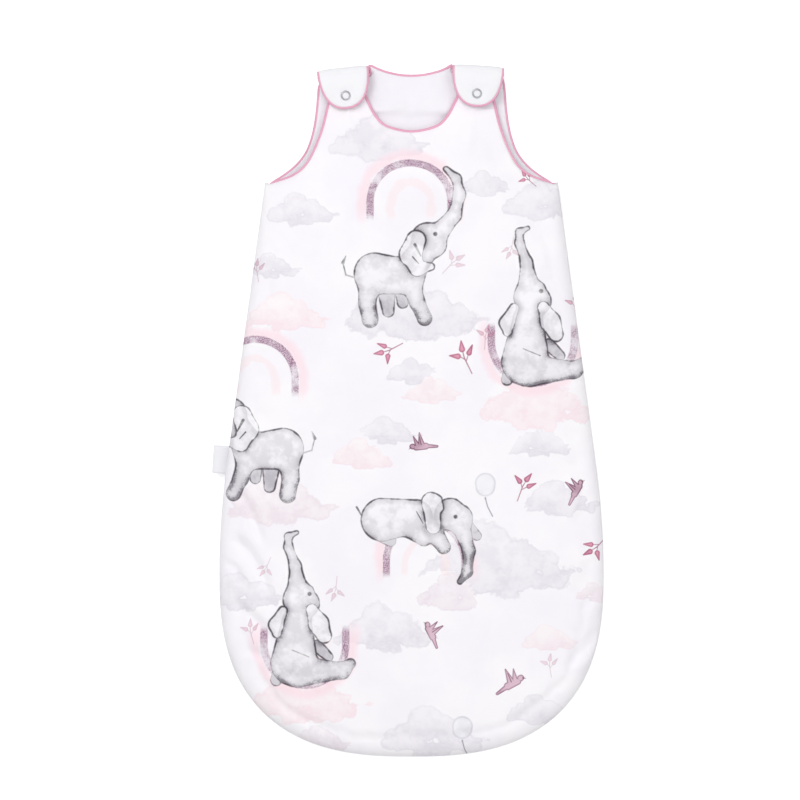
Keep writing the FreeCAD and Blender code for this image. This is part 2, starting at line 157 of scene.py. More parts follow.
def unit_rows(rows: np.ndarray) -> np.ndarray:
    """Each row at a length of 1."""
    return rows / np.maximum(np.linalg.norm(rows, axis=1, keepdims=True), 1e-9)


def left_normals(points: np.ndarray) -> np.ndarray:
    """Unit directions to the left of an open line, at each of its points."""
    along = np.gradient(points, axis=0)
    return unit_rows(np.stack([-along[:, 1], along[:, 0]], axis=1))


def inward_normals(loop: np.ndarray) -> np.ndarray:
    """Unit directions into a closed outline, at each of its points."""
    along = np.roll(loop, -1, 0) - np.roll(loop, 1, 0)
    return unit_rows(np.stack([-along[:, 1], along[:, 0]], axis=1))


def nearest(points: np.ndarray, targets: np.ndarray) -> np.ndarray:
    """The distance from each point to the nearest target."""
    if len(targets) == 0:
        return np.full(len(points), 1.0)
    found = np.empty(len(points))
    for start in range(0, len(points), 2000):
        part = points[start : start + 2000]
        gaps = part[:, None, :] - targets[None, :, :]
        found[start : start + 2000] = np.sqrt((gaps**2).sum(2).min(1))
    return found


def make_mesh(name: str, vertices: np.ndarray, faces: Iterable[Sequence[int]]) -> bpy.types.Object:
    """A smooth-shaded mesh object in the scene.

    Args:
        name: the piece's name.
        vertices: one row for each vertex.
        faces: the corners of each face.

    Returns:
        The new object.
    """
    mesh = bpy.data.meshes.new(name)
    mesh.from_pydata([tuple(map(float, v)) for v in vertices], [], [tuple(map(int, f)) for f in faces])
    mesh.validate()
    mesh.shade_smooth()
    made = bpy.data.objects.new(name, mesh)
    bpy.context.scene.collection.objects.link(made)
    return made


def coordinates(piece: bpy.types.Object) -> np.ndarray:
    """The vertices of a piece, one row each."""
    flat = np.empty(len(piece.data.vertices) * 3)
    piece.data.vertices.foreach_get("co", flat)
    return flat.reshape(-1, 3)


def set_coordinates(piece: bpy.types.Object, places: np.ndarray) -> None:
    """Moves the vertices of a piece."""
    piece.data.vertices.foreach_set("co", places.astype(float).ravel())
    piece.data.update()


def sweep(name: str, path: np.ndarray, radius: float, up: Sequence[float] = (0.0, 0.0, 1.0),
          capped: bool = True) -> bpy.types.Object:
    """A round tube along an open path.

    Args:
        name: the piece's name.
        path: the centre line's points.
        radius: the tube's radius.
        up: the section's upright at the path's start, carried along the path.
        capped: whether the ends are rounded.

    Returns:
        The tube.
    """
    count = len(path)
    along = unit_rows(np.gradient(path, axis=0))
    upright = np.array(up, float)
    scales = np.ones(count)
    if capped:
        ends = min(3, count // 3)
        for step in range(ends):
            scales[step] = scales[-1 - step] = math.sqrt(1 - (1 - (step + 0.25) / (ends + 0.25)) ** 2)
    vertices = []
    for place, direction, scale in zip(path, along, scales):
        upright = upright - direction * float(np.dot(upright, direction))
        upright = upright / max(np.linalg.norm(upright), 1e-9)
        across = np.cross(direction, upright)
        for side in range(TUBE_SIDES):
            angle = 2 * math.pi * side / TUBE_SIDES
            out = across * radius * math.cos(angle) + upright * radius * math.sin(angle)
            vertices.append(place + scale * out)
    return make_mesh(name, np.array(vertices), tube_faces(count, TUBE_SIDES))


def tube_faces(rings: int, sides: int) -> list[tuple[int, ...]]:
    """The faces of a closed tube: its wall and its two ends."""
    faces = []
    for ring in range(rings - 1):
        for side in range(sides):
            after = (side + 1) % sides
            here, there = ring * sides, (ring + 1) * sides
            faces.append((here + side, here + after, there + after, there + side))
    faces.append(tuple(reversed(range(sides))))
    faces.append(tuple(range((rings - 1) * sides, rings * sides)))
    return faces


def lathe(name: str, profile: Sequence[Sequence[float]], centre: Vector, segments: int = 32,
          closed: bool = False) -> bpy.types.Object:
    """A turned piece about an upright axis.

    Args:
        name: the piece's name.
        profile: (radius, height) points, from the bottom's middle outwards and up.
        centre: the point that the radii and heights count from.
        segments: how many steps go round.
        closed: whether the profile is a loop, as in a ring.

    Returns:
        The turned piece.
    """
    vertices, faces = [], []
    for step in range(segments):
        angle = 2 * math.pi * step / segments
        for radius, height in profile:
            x, y = radius * math.cos(angle), radius * math.sin(angle)
            vertices.append((centre.x + x, centre.y + y, centre.z + height))
    rows = len(profile)
    for step in range(segments):
        for row in range(rows if closed else rows - 1):
            here, there = step * rows, ((step + 1) % segments) * rows
            up = (row + 1) % rows
            faces.append((here + row, there + row, there + up, here + up))
    made = make_mesh(name, np.array(vertices), faces)
    if not closed:
        close_poles(made)
    return made


def close_poles(piece: bpy.types.Object) -> None:
    """Merges the vertices that meet on a turned piece's axis."""
    built = bmesh.new()
    built.from_mesh(piece.data)
    bmesh.ops.remove_doubles(built, verts=built.verts, dist=1e-7)
    bmesh.ops.dissolve_degenerate(built, dist=1e-8, edges=built.edges)
    built.to_mesh(piece.data)
    built.free()
    piece.data.shade_smooth()


# ---------------------------------------------------------------------------------------------
# The cut of the cloth
# ---------------------------------------------------------------------------------------------


@dataclass(frozen=True)
class Outline:
    """A closed flat outline, with what finishes it at each point."""

    points: np.ndarray
    kinds: np.ndarray

    def where(self, kind: Edge) -> np.ndarray:
        """The points that one kind of edge finishes."""
        return self.points[self.kinds == kind.value]


@dataclass(frozen=True)
class Cut:
    """The pattern that the front and the back are cut to."""

    half_width: float
    foot_y: float
    armpit_y: float
    armhole_end_x: float
    spacing: float = 4.0 * MM
    widest_rise: float = 185.0 * MM
    armpit_narrowing: float = 46.0 * MM
    rounding: float = 2.6
    side_lean: float = math.radians(7.7)

    @classmethod
    def from_frame(cls) -> "Cut":
        """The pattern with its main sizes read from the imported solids."""
        low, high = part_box("front_edge_roll")
        armhole_low, armhole_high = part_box("front_armhole_piping_right")
        return cls(high.x, low.y, armhole_low.y, armhole_high.x)

    @property
    def widest_y(self) -> float:
        """The height at which the bag is widest."""
        return self.foot_y + self.widest_rise

    @property
    def armpit_half_width(self) -> float:
        """Half the width at the armpits."""
        return self.half_width - self.armpit_narrowing

    def side_x(self, y: float, inset: float = 0.0) -> float:
        """Half the width of the straight stretch of the side."""
        lean = self.side_lean
        return self.armpit_half_width + (self.armpit_y - y) * math.tan(lean) - inset / math.cos(lean)

    def hem(self, inset: float, top_y: float) -> np.ndarray:
        """The lower edge, from the right side at top_y round the foot to the left side.

        Args:
            inset: how far the line lies inside the outermost one.
            top_y: where the line starts and ends.

        Returns:
            Evenly spaced points.
        """
        lean = self.side_lean
        rise = self.armpit_y - self.widest_y
        radius = (rise * math.tan(lean) - self.armpit_narrowing) * math.cos(lean) / (1 - math.cos(lean))
        centre_x = self.half_width - radius
        angles = np.linspace(lean, 0.0, 12)
        right = [np.array([[self.side_x(top_y, inset), top_y]])]
        arc_x = centre_x + (radius - inset) * np.cos(angles)
        arc_y = self.widest_y + (radius - inset) * np.sin(angles)
        right.append(np.stack([arc_x, arc_y], axis=1))
        turn = np.linspace(0.0, math.pi / 2, 60)[1:]
        foot_x = (self.half_width - inset) * np.maximum(np.cos(turn), 0.0) ** (2 / self.rounding)
        foot_y = self.widest_y - (self.widest_rise - inset) * np.sin(turn) ** (2 / self.rounding)
        right.append(np.stack([foot_x, foot_y], axis=1))
        half = np.concatenate(right)
        return resample(np.concatenate([half, mirrored(half)[1:]]), self.spacing)

    def armhole(self, front: bool) -> np.ndarray:
        """The right armhole's edge, from the armpit up."""
        start = (self.armhole_end_x, self.armpit_y)
        if front:
            rest = [(0.1190, 0.2370), (0.1045, 0.2510), (0.0920, 0.2800), (0.0850, 0.3080)]
        else:
            rest = [(0.1210, 0.2430), (0.1060, 0.2620), (0.0985, 0.2880), (0.0955, 0.3140), (0.0945, 0.3350)]
        return smooth_curve([start] + rest, self.spacing)

    def neck(self) -> np.ndarray:
        """The front neck's edge, from right to left."""
        half = [(0.0435, 0.3120), (0.0350, 0.2960), (0.0240, 0.2860), (0.0, 0.2810)]
        other = [(-x, y) for x, y in reversed(half[:-1])]
        return smooth_curve(half + other, self.spacing)

    def strap_end(self) -> np.ndarray:
        """The rounded end of the right front strap, under the tab."""
        points = [(0.0850, 0.3080), (0.0800, 0.3240), (0.0650, 0.3310), (0.0500, 0.3250), (0.0435, 0.3120)]
        return smooth_curve(points, self.spacing)


@dataclass(frozen=True)
class Shoulder:
    """One shoulder's hinge line, read from its joint."""

    side: Side
    hinge: Vector
    across: Vector

    @classmethod
    def from_frame(cls, side: Side) -> "Shoulder":
        """The shoulder with the axis of its joint."""
        joints = frame["record"]["behaviour"]["joints"]
        found = next(j for j in joints if j["name"] == f"shoulder_tab_{side.value}")
        axis = Vector(found["axis"])
        return cls(side, Vector(found["pos_m"]), -axis if axis.x < 0 else axis)

    @property
    def body(self) -> str:
        """The body that the tab belongs to."""
        return f"tab_{self.side.value}"

    @property
    def headwards(self) -> Vector:
        """The flat direction square to the hinge, away from the tab."""
        return Vector((-self.across.y, self.across.x, 0.0))

    def place(self, x: float, y: float, z: float) -> np.ndarray:
        """A point given along the hinge, headwards from it, and up from the floor."""
        flat = self.hinge + self.across * x + self.headwards * y
        return np.array([flat.x, flat.y, z])

    def local(self, points: np.ndarray) -> np.ndarray:
        """Row-frame points as (along the hinge, headwards)."""
        gap = points[:, :2] - np.array([self.hinge.x, self.hinge.y])
        across = np.array([self.across.x, self.across.y])
        head = np.array([self.headwards.x, self.headwards.y])
        return np.stack([gap @ across, gap @ head], axis=1)


def build_outline(runs: Sequence[tuple[np.ndarray, Edge]]) -> Outline:
    """Joins runs of edge into a closed outline.

    Args:
        runs: the points of each run and what finishes it, in order, ends meeting.

    Returns:
        The outline, without doubled points.
    """
    points, kinds = [], []
    for run, kind in runs:
        for place in run:
            if points and np.linalg.norm(points[-1] - place) < 0.4 * MM:
                continue
            points.append(place)
            kinds.append(kind.value)
    while np.linalg.norm(points[0] - points[-1]) < 0.4 * MM:
        points.pop()
        kinds.pop()
    return Outline(np.array(points), np.array(kinds))


# ---------------------------------------------------------------------------------------------
# Padded panels
# ---------------------------------------------------------------------------------------------


@dataclass
class Pad:
    """A closed quilted pad: an outer and an inner cloth that meet along one outline."""

    name: str
    outline: Outline
    top: Callable[["Field"], np.ndarray]
    bottom: Callable[["Field"], np.ndarray]
    grid: float = 4.6 * MM
    rings: tuple[float, ...] = (0.7 * MM, 2.0 * MM, 4.0 * MM)
    piece: bpy.types.Object | None = None
    flat: np.ndarray | None = None
    loop_count: int = 0
    sheet_count: int = 0
    upper_faces: int = 0

    def build(self) -> bpy.types.Object:
        """Makes the closed mesh at its rest heights."""
        loop = self.outline.points
        inner = self._ring_points(loop)
        interior = self._grid_points(loop)
        flat = np.concatenate([loop, inner, interior])
        edges = [(i, (i + 1) % len(loop)) for i in range(len(loop))]
        made = delaunay_2d_cdt([Vector(p) for p in flat], edges, [list(range(len(loop)))], 1, 1e-7)
        order = [sources[0] if sources else -1 for sources in made[3]]
        flat = np.array([tuple(v) for v in made[0]])
        first = {source: index for index, source in enumerate(order) if source >= 0}
        keep = [first[i] for i in range(len(loop)) if i in first]
        rest = [i for i in range(len(flat)) if i not in set(keep)]
        renumber = {old: new for new, old in enumerate(keep + rest)}
        flat = flat[keep + rest]
        triangles = [tuple(renumber[c] for c in face) for face in made[2]]
        self.loop_count = len(keep)
        self.sheet_count = len(flat)
        field_ = Field.of(flat, self.outline)
        top, bottom = self.top(field_), self.bottom(field_)
        middle = (top + bottom) / 2
        edge = np.arange(len(flat)) < self.loop_count
        soft = self._soft_edge(field_)
        top = np.where(edge & soft, middle, top)
        bottom = np.where(edge & soft, middle, bottom)
        lower_index = {}
        lower = []
        for index in range(len(flat)):
            if edge[index] and soft[index]:
                lower_index[index] = index
            else:
                lower_index[index] = len(flat) + len(lower)
                lower.append((*flat[index], bottom[index]))
        upper = np.column_stack([flat, top])
        vertices = np.vstack([upper, np.array(lower)])
        faces = [self._facing_up(flat, t) for t in triangles]
        under = [tuple(lower_index[c] for c in reversed(face)) for face in faces]
        walls = []
        for index in range(self.loop_count):
            after = (index + 1) % self.loop_count
            ring = [index, after, lower_index[after], lower_index[index]]
            ring = list(dict.fromkeys(ring))
            if len(ring) > 2:
                walls.append(tuple(reversed(ring)))
        self.flat = np.vstack([flat, np.array([v[:2] for v in lower])])
        self.piece = make_mesh(self.name, vertices, faces + under + walls)
        self.upper_faces = len(faces)
        return self.piece

    def _soft_edge(self, field_: "Field") -> np.ndarray:
        """Where the two cloths meet in a line, so everywhere but along a cut."""
        return field_.cut > 0.3 * MM

    @staticmethod
    def _facing_up(flat: np.ndarray, triangle: Sequence[int]) -> tuple[int, ...]:
        """The triangle's corners in the order that faces it up."""
        a, b, c = (flat[i] for i in triangle)
        turn = (b[0] - a[0]) * (c[1] - a[1]) - (b[1] - a[1]) * (c[0] - a[0])
        return tuple(triangle) if turn > 0 else tuple(reversed(triangle))

    def _ring_points(self, loop: np.ndarray) -> np.ndarray:
        """Rows of points just inside the edge, for its rounding."""
        inward = inward_normals(loop)
        found = []
        for depth in self.rings:
            row = loop + inward * depth
            row = row[nearest(row, loop) > 0.93 * depth]
            found.append(row[inside(row, loop)])
        return np.concatenate(found)

    def _grid_points(self, loop: np.ndarray) -> np.ndarray:
        """A triangular grid over the rest of the panel."""
        low, high = loop.min(0), loop.max(0)
        rows = []
        step_y = self.grid * math.sqrt(0.75)
        for index, y in enumerate(np.arange(low[1], high[1], step_y)):
            xs = np.arange(low[0] + (index % 2) * self.grid / 2, high[0], self.grid)
            rows.append(np.column_stack([xs, np.full(len(xs), y)]))
        points = np.concatenate(rows)
        points = points[inside(points, loop)]
        return points[nearest(points, loop) > self.rings[-1] + 0.6 * self.grid]

    def edge_run(self, kind: Edge, test: Callable[[np.ndarray], np.ndarray]) -> np.ndarray:
        """The finished edge's points of one kind that pass a test, in order.

        Args:
            kind: which finish the run has.
            test: tells from flat points which of them belong to the run.

        Returns:
            The points in space.
        """
        places = coordinates(self.piece)[: self.loop_count]
        kinds = self.outline.kinds[: self.loop_count]
        wanted = (kinds == kind.value) & test(places[:, :2])
        indices = np.nonzero(wanted)[0]
        breaks = np.nonzero(np.diff(indices) > 1)[0]
        if len(breaks):
            indices = np.roll(indices, -(breaks[0] + 1))
        return places[indices]


@dataclass
class Field:
    """Flat points with their distances to the edges of a panel."""

    flat: np.ndarray
    hem: np.ndarray
    piped: np.ndarray
    cut: np.ndarray

    @classmethod
    def of(cls, flat: np.ndarray, outline: Outline) -> "Field":
        """Measures the distances of flat points to an outline's three kinds of edge."""
        return cls(flat, *(nearest(flat, outline.where(kind)) for kind in (Edge.HEM, Edge.PIPED, Edge.CUT)))

    @property
    def y(self) -> np.ndarray:
        """How far headwards each point is."""
        return self.flat[:, 1]


def inside(points: np.ndarray, loop: np.ndarray) -> np.ndarray:
    """Which points lie inside a closed outline."""
    found = np.zeros(len(points), bool)
    ends = np.roll(loop, -1, 0)
    for (ax, ay), (bx, by) in zip(loop, ends):
        crosses = (ay > points[:, 1]) != (by > points[:, 1])
        if by != ay:
            at = ax + (points[:, 1] - ay) * (bx - ax) / (by - ay)
            found ^= crosses & (points[:, 0] < at)
    return found


def relax(pad: Pad, pins: np.ndarray, pressure: float, ease: float, cap: float, frames: int = 18) -> None:
    """Fills a pad by cloth simulation and keeps the result.

    Args:
        pad: the pad, already built.
        pins: from 0 to 1, how firmly each vertex is held.
        pressure: the filling's pressure.
        ease: how much larger the cloth is than its rest shape, as a share.
        cap: the furthest that a vertex may move.
        frames: how many steps the simulation takes.
    """
    piece = pad.piece
    before = coordinates(piece)
    group = piece.vertex_groups.new(name="held")
    for index, weight in enumerate(pins):
        if weight > 0.01:
            group.add([index], float(weight), "REPLACE")
    cloth = piece.modifiers.new("fill", "CLOTH")
    settings = cloth.settings
    settings.quality = 6
    settings.mass = 0.15
    settings.tension_stiffness = 20
    settings.compression_stiffness = 20
    settings.shear_stiffness = 8
    settings.bending_stiffness = 0.6
    settings.vertex_group_mass = "held"
    settings.use_pressure = True
    settings.uniform_pressure_force = pressure
    settings.shrink_min = -ease
    settings.effector_weights.gravity = 0.0
    cloth.collision_settings.use_collision = False
    cloth.point_cache.frame_start = 1
    cloth.point_cache.frame_end = frames
    scene = bpy.context.scene
    for step in range(1, frames + 1):
        scene.frame_set(step)
    evaluated = piece.evaluated_get(bpy.context.evaluated_depsgraph_get())
    flat = np.empty(len(before) * 3)
    evaluated.data.vertices.foreach_get("co", flat)
    after = flat.reshape(-1, 3)
    move = after - before
    length = np.linalg.norm(move, axis=1, keepdims=True)
    move = move * np.minimum(1.0, cap / np.maximum(length, 1e-9))
    piece.modifiers.remove(cloth)
    piece.vertex_groups.remove(group)
    scene.frame_set(1)
    set_coordinates(piece, before + move)


# ---------------------------------------------------------------------------------------------
# Shader graphs
# ---------------------------------------------------------------------------------------------


def tint(red: int, green: int, blue: int) -> tuple[float, float, float, float]:
    """A display colour as the linear colour that a shader takes."""
    def linear(level: int) -> float:
        """One channel, from 0..255 to linear."""
        share = level / 255
        return share / 12.92 if share <= 0.04045 else ((share + 0.055) / 1.055) ** 2.4

    return linear(red), linear(green), linear(blue), 1.0


class Wire:
    """A value in a shader graph. Arithmetic on it adds nodes."""

    def __init__(self, graph: "Graph", socket: bpy.types.NodeSocket) -> None:
        """Takes the socket that the value comes out of."""
        self.graph = graph
        self.socket = socket

    def __add__(self, other: "Wire | float") -> "Wire":
        """This value plus another."""
        return self.graph.math("ADD", self, other)

    def __sub__(self, other: "Wire | float") -> "Wire":
        """This value less another."""
        return self.graph.math("SUBTRACT", self, other)

    def __mul__(self, other: "Wire | float") -> "Wire":
        """This value times another."""
        return self.graph.math("MULTIPLY", self, other)

    def __rsub__(self, other: float) -> "Wire":
        """A number less this value."""
        return self.graph.math("SUBTRACT", other, self)

    def __abs__(self) -> "Wire":
        """The size of this value."""
        return self.graph.math("ABSOLUTE", self)

    __radd__ = __add__
    __rmul__ = __mul__


@dataclass
class Graph:
    """A node tree with short calls that add nodes to it."""

    tree: bpy.types.NodeTree

    def add(self, kind: str, **settings: object) -> bpy.types.Node:
        """A new node with its settings."""
        made = self.tree.nodes.new(kind)
        for name, value in settings.items():
            setattr(made, name, value)
        return made

    def put(self, value: "Wire | float | Sequence[float]", socket: bpy.types.NodeSocket) -> None:
        """Joins a value to a socket, or sets a constant on it."""
        if isinstance(value, Wire):
            self.tree.links.new(value.socket, socket)
        else:
            socket.default_value = value

    def math(self, operation: str, *values: "Wire | float", clamp: bool = False) -> Wire:
        """A math node on up to three values."""
        made = self.add("ShaderNodeMath", operation=operation)
        for value, socket in zip(values, made.inputs):
            self.put(value, socket)
        if not clamp:
            return Wire(self, made.outputs[0])
        bounded = self.add("ShaderNodeClamp")
        self.put(Wire(self, made.outputs[0]), bounded.inputs["Value"])
        return Wire(self, bounded.outputs[0])

    def vector(self, operation: str, *values: "Wire | float | Sequence[float]") -> Wire:
        """A vector math node, giving its number for a length and its vector otherwise."""
        made = self.add("ShaderNodeVectorMath", operation=operation)
        sockets = [made.inputs[0], made.inputs["Scale"]] if operation == "SCALE" else made.inputs
        for value, socket in zip(values, sockets):
            self.put(value, socket)
        number = operation in ("LENGTH", "DISTANCE", "DOT_PRODUCT")
        return Wire(self, made.outputs[1 if number else 0])

    def split(self, value: Wire) -> tuple[Wire, Wire, Wire]:
        """A vector's three numbers."""
        made = self.add("ShaderNodeSeparateXYZ")
        self.put(value, made.inputs[0])
        return tuple(Wire(self, socket) for socket in made.outputs)

    def mix(self, share: "Wire | float", first: "Wire | Sequence[float]",
            second: "Wire | Sequence[float]") -> Wire:
        """A colour between two, by a share."""
        made = self.add("ShaderNodeMix", data_type="RGBA")
        self.put(share, made.inputs[0])
        self.put(first, made.inputs[6])
        self.put(second, made.inputs[7])
        return Wire(self, made.outputs[2])

    def rise(self, value: Wire, low: float, high: float, start: float = 0.0, end: float = 1.0) -> Wire:
        """A soft step from start to end as the value goes from low to high."""
        made = self.add("ShaderNodeMapRange", interpolation_type="SMOOTHSTEP", clamp=False)
        for item, socket in zip((value, low, high, start, end), made.inputs):
            self.put(item, socket)
        return Wire(self, made.outputs[0])

    def noise(self, place: Wire, scale: float, detail: float = 2.0, roughness: float = 0.5) -> Wire:
        """Soft noise from 0 to 1."""
        made = self.add("ShaderNodeTexNoise")
        self.put(place, made.inputs["Vector"])
        made.inputs["Scale"].default_value = scale
        made.inputs["Detail"].default_value = detail
        made.inputs["Roughness"].default_value = roughness
        return Wire(self, made.outputs[0])

    def place(self) -> Wire:
        """Object coordinates."""
        return Wire(self, self.add("ShaderNodeTexCoord").outputs["Object"])

    def attribute(self, name: str) -> Wire:
        """A mesh attribute's vector."""
        return Wire(self, self.add("ShaderNodeAttribute", attribute_name=name).outputs["Vector"])

    def use(self, group: bpy.types.NodeTree, **inputs: "Wire | float") -> dict[str, Wire]:
        """A node group placed with its inputs, giving its outputs by name."""
        made = self.add("ShaderNodeGroup", node_tree=group)
        for name, value in inputs.items():
            self.put(value, made.inputs[name])
        return {socket.name: Wire(self, socket) for socket in made.outputs}

    def bump(self, height: Wire, strength: float, distance: float) -> Wire:
        """A bumped normal."""
        made = self.add("ShaderNodeBump")
        made.inputs["Strength"].default_value = strength
        made.inputs["Distance"].default_value = distance
        self.put(height, made.inputs["Height"])
        return Wire(self, made.outputs[0])


@dataclass
class GroupMaker:
    """A shader node group under construction."""

    name: str
    inputs: dict[str, str]
    outputs: dict[str, str]
    graph: Graph = field(init=False)

    def __post_init__(self) -> None:
        """Makes the group's tree and its sockets."""
        tree = bpy.data.node_groups.new(self.name, "ShaderNodeTree")
        for name, kind in self.inputs.items():
            tree.interface.new_socket(name=name, in_out="INPUT", socket_type=f"NodeSocket{kind}")
        for name, kind in self.outputs.items():
            tree.interface.new_socket(name=name, in_out="OUTPUT", socket_type=f"NodeSocket{kind}")
        self.graph = Graph(tree)
        self._inside = tree.nodes.new("NodeGroupInput")
        self._outside = tree.nodes.new("NodeGroupOutput")

    def given(self, name: str) -> Wire:
        """An input, inside the group."""
        return Wire(self.graph, self._inside.outputs[name])

    def give(self, name: str, value: Wire) -> None:
        """Joins a value to an output."""
        self.graph.put(value, self._outside.inputs[name])


class Effects:
    """The shader groups that several finishes share, each built once."""

    def __init__(self) -> None:
        """Builds every group."""
        self.weave = self._weave()
        self.wrinkle = self._wrinkle()

    @staticmethod
    def _weave() -> bpy.types.NodeTree:
        """A plain weave: over and under threads, with uneven yarn."""
        made = GroupMaker("weave", {"Place": "Vector", "Threads": "Float"},
                          {"Height": "Float", "Shade": "Float"})
        graph = made.graph
        x, y, z = graph.split(made.given("Place"))
        threads = made.given("Threads")
        drift = graph.noise(made.given("Place"), 60.0)
        warp = graph.math("SINE", (x + drift * 0.0006) * threads)
        weft = graph.math("SINE", (y + z + drift * 0.0006) * threads)
        over = warp * weft
        height = over * 0.5 + 0.5
        made.give("Height", height)
        slub = graph.noise(graph.vector("MULTIPLY", made.given("Place"), (40.0, 900.0, 40.0)), 1.0, 2.0)
        made.give("Shade", height * 0.5 + slub * 0.5)
        return made.graph.tree

    @staticmethod
    def _wrinkle() -> bpy.types.NodeTree:
        """Shallow soft wrinkles of a washed quilt."""
        made = GroupMaker("wrinkle", {"Place": "Vector", "Scale": "Float"}, {"Height": "Float"})
        graph = made.graph
        stretched = graph.vector("MULTIPLY", made.given("Place"), (1.0, 0.72, 1.0))
        coarse = graph.noise(stretched, 14.0, 2.0, 0.45)
        fine = graph.noise(stretched, 46.0, 3.0, 0.5)
        made.give("Height", (coarse * 0.7 + fine * 0.3) * made.given("Scale"))
        return made.graph.tree


# ---------------------------------------------------------------------------------------------
# Finishes
# ---------------------------------------------------------------------------------------------


@dataclass(frozen=True)
class ClothFinish:
    """A woven cloth."""

    name: str
    colour: tuple[int, int, int]
    shade: tuple[int, int, int]
    threads_per_mm: float = THREADS_PER_MM
    weave_bump: float = 0.25
    wrinkles: float = 0.0
    roughness: float = 0.85
    sheen: float = 0.25

    def make(self, effects: Effects) -> bpy.types.Material:
        """Builds the material.

        Args:
            effects: the shared shader groups.

        Returns:
            The material.
        """
        made, graph, shader = new_material(self.name)
        woven = graph.use(effects.weave, Place=graph.place(), Threads=self.threads_per_mm * TURN_PER_MM)
        blotch = graph.noise(graph.place(), 25.0, 3.0)
        share = woven["Shade"] * 0.55 + blotch * 0.45
        colour = graph.mix(share, tint(*self.shade), tint(*self.colour))
        graph.put(colour, shader.inputs["Base Color"])
        smoother = self.roughness - 0.1
        graph.put(graph.rise(woven["Shade"], 0.2, 0.9, self.roughness, smoother), shader.inputs["Roughness"])
        shader.inputs["Sheen Weight"].default_value = self.sheen
        shader.inputs["Specular IOR Level"].default_value = 0.25
        height = woven["Height"]
        if self.wrinkles:
            wrinkles = graph.use(effects.wrinkle, Place=graph.place(), Scale=self.wrinkles)
            height = height * 0.08 + wrinkles["Height"]
            graph.put(graph.bump(height, 0.6, 0.0022), shader.inputs["Normal"])
        else:
            graph.put(graph.bump(height, self.weave_bump, 0.00018), shader.inputs["Normal"])
        return made


@dataclass(frozen=True)
class MetalFinish:
    """Pressed and polished metal, with fine brushing."""

    name: str
    colour: tuple[int, int, int]
    roughness: float = 0.28

    def make(self) -> bpy.types.Material:
        """Builds the material."""
        made, graph, shader = new_material(self.name)
        scuffs = graph.noise(graph.vector("MULTIPLY", graph.place(), (900.0, 240.0, 900.0)), 1.0, 3.0)
        darker = tuple(int(level * 0.82) for level in self.colour)
        graph.put(graph.mix(scuffs, tint(*darker), tint(*self.colour)), shader.inputs["Base Color"])
        shader.inputs["Metallic"].default_value = 1.0
        rougher = self.roughness + 0.14
        graph.put(graph.rise(scuffs, 0.2, 0.8, self.roughness, rougher), shader.inputs["Roughness"])
        graph.put(graph.bump(scuffs, 0.12, 0.0001), shader.inputs["Normal"])
        return made


@dataclass(frozen=True)
class PlasticFinish:
    """Moulded plastic with a faint grain."""

    name: str
    colour: tuple[int, int, int]
    roughness: float = 0.42

    def make(self) -> bpy.types.Material:
        """Builds the material."""
        made, graph, shader = new_material(self.name)
        grain = graph.noise(graph.place(), 1400.0, 3.0)
        clouding = graph.noise(graph.place(), 90.0, 2.0)
        darker = tuple(int(level * 0.93) for level in self.colour)
        graph.put(graph.mix(clouding, tint(*darker), tint(*self.colour)), shader.inputs["Base Color"])
        smoother, rougher = self.roughness - 0.06, self.roughness + 0.08
        graph.put(graph.rise(grain, 0.2, 0.8, smoother, rougher), shader.inputs["Roughness"])
        graph.put(graph.bump(grain, 0.15, 0.0001), shader.inputs["Normal"])
        return made


def new_material(name: str) -> tuple[bpy.types.Material, Graph, bpy.types.Node]:
    """A material with its graph and its Principled shader."""
    made = bpy.data.materials.new(name)
    made.use_nodes = True
    graph = Graph(made.node_tree)
    return made, graph, made.node_tree.nodes["Principled BSDF"]


# ---------------------------------------------------------------------------------------------
# The print
# ---------------------------------------------------------------------------------------------


class Kind(Enum):
    """The drawings of the nursery print."""

    CLOUD = "cloud"
    ARCH = "arch"
    WALKING = "walking"
    SITTING = "sitting"
    LYING = "lying"
    SPRIG = "sprig"
    BIRD = "bird"
    BALLOON = "balloon"

    @property
    def attribute(self) -> str:
        """The mesh attribute that holds the drawing's own coordinates."""
        return f"print_{self.value}"


@dataclass(frozen=True)
class Motif:
    """One drawing on the cloth."""

    kind: Kind
    x: float
    y: float
    size: float
    turn: float = 0.0
    flipped: bool = False
    blush: float = 0.0


@dataclass(frozen=True)
class Limb:
    """A tapered rounded stroke of a drawing, in the drawing's own units."""

    start: tuple[float, float]
    end: tuple[float, float]
    first: float
    last: float


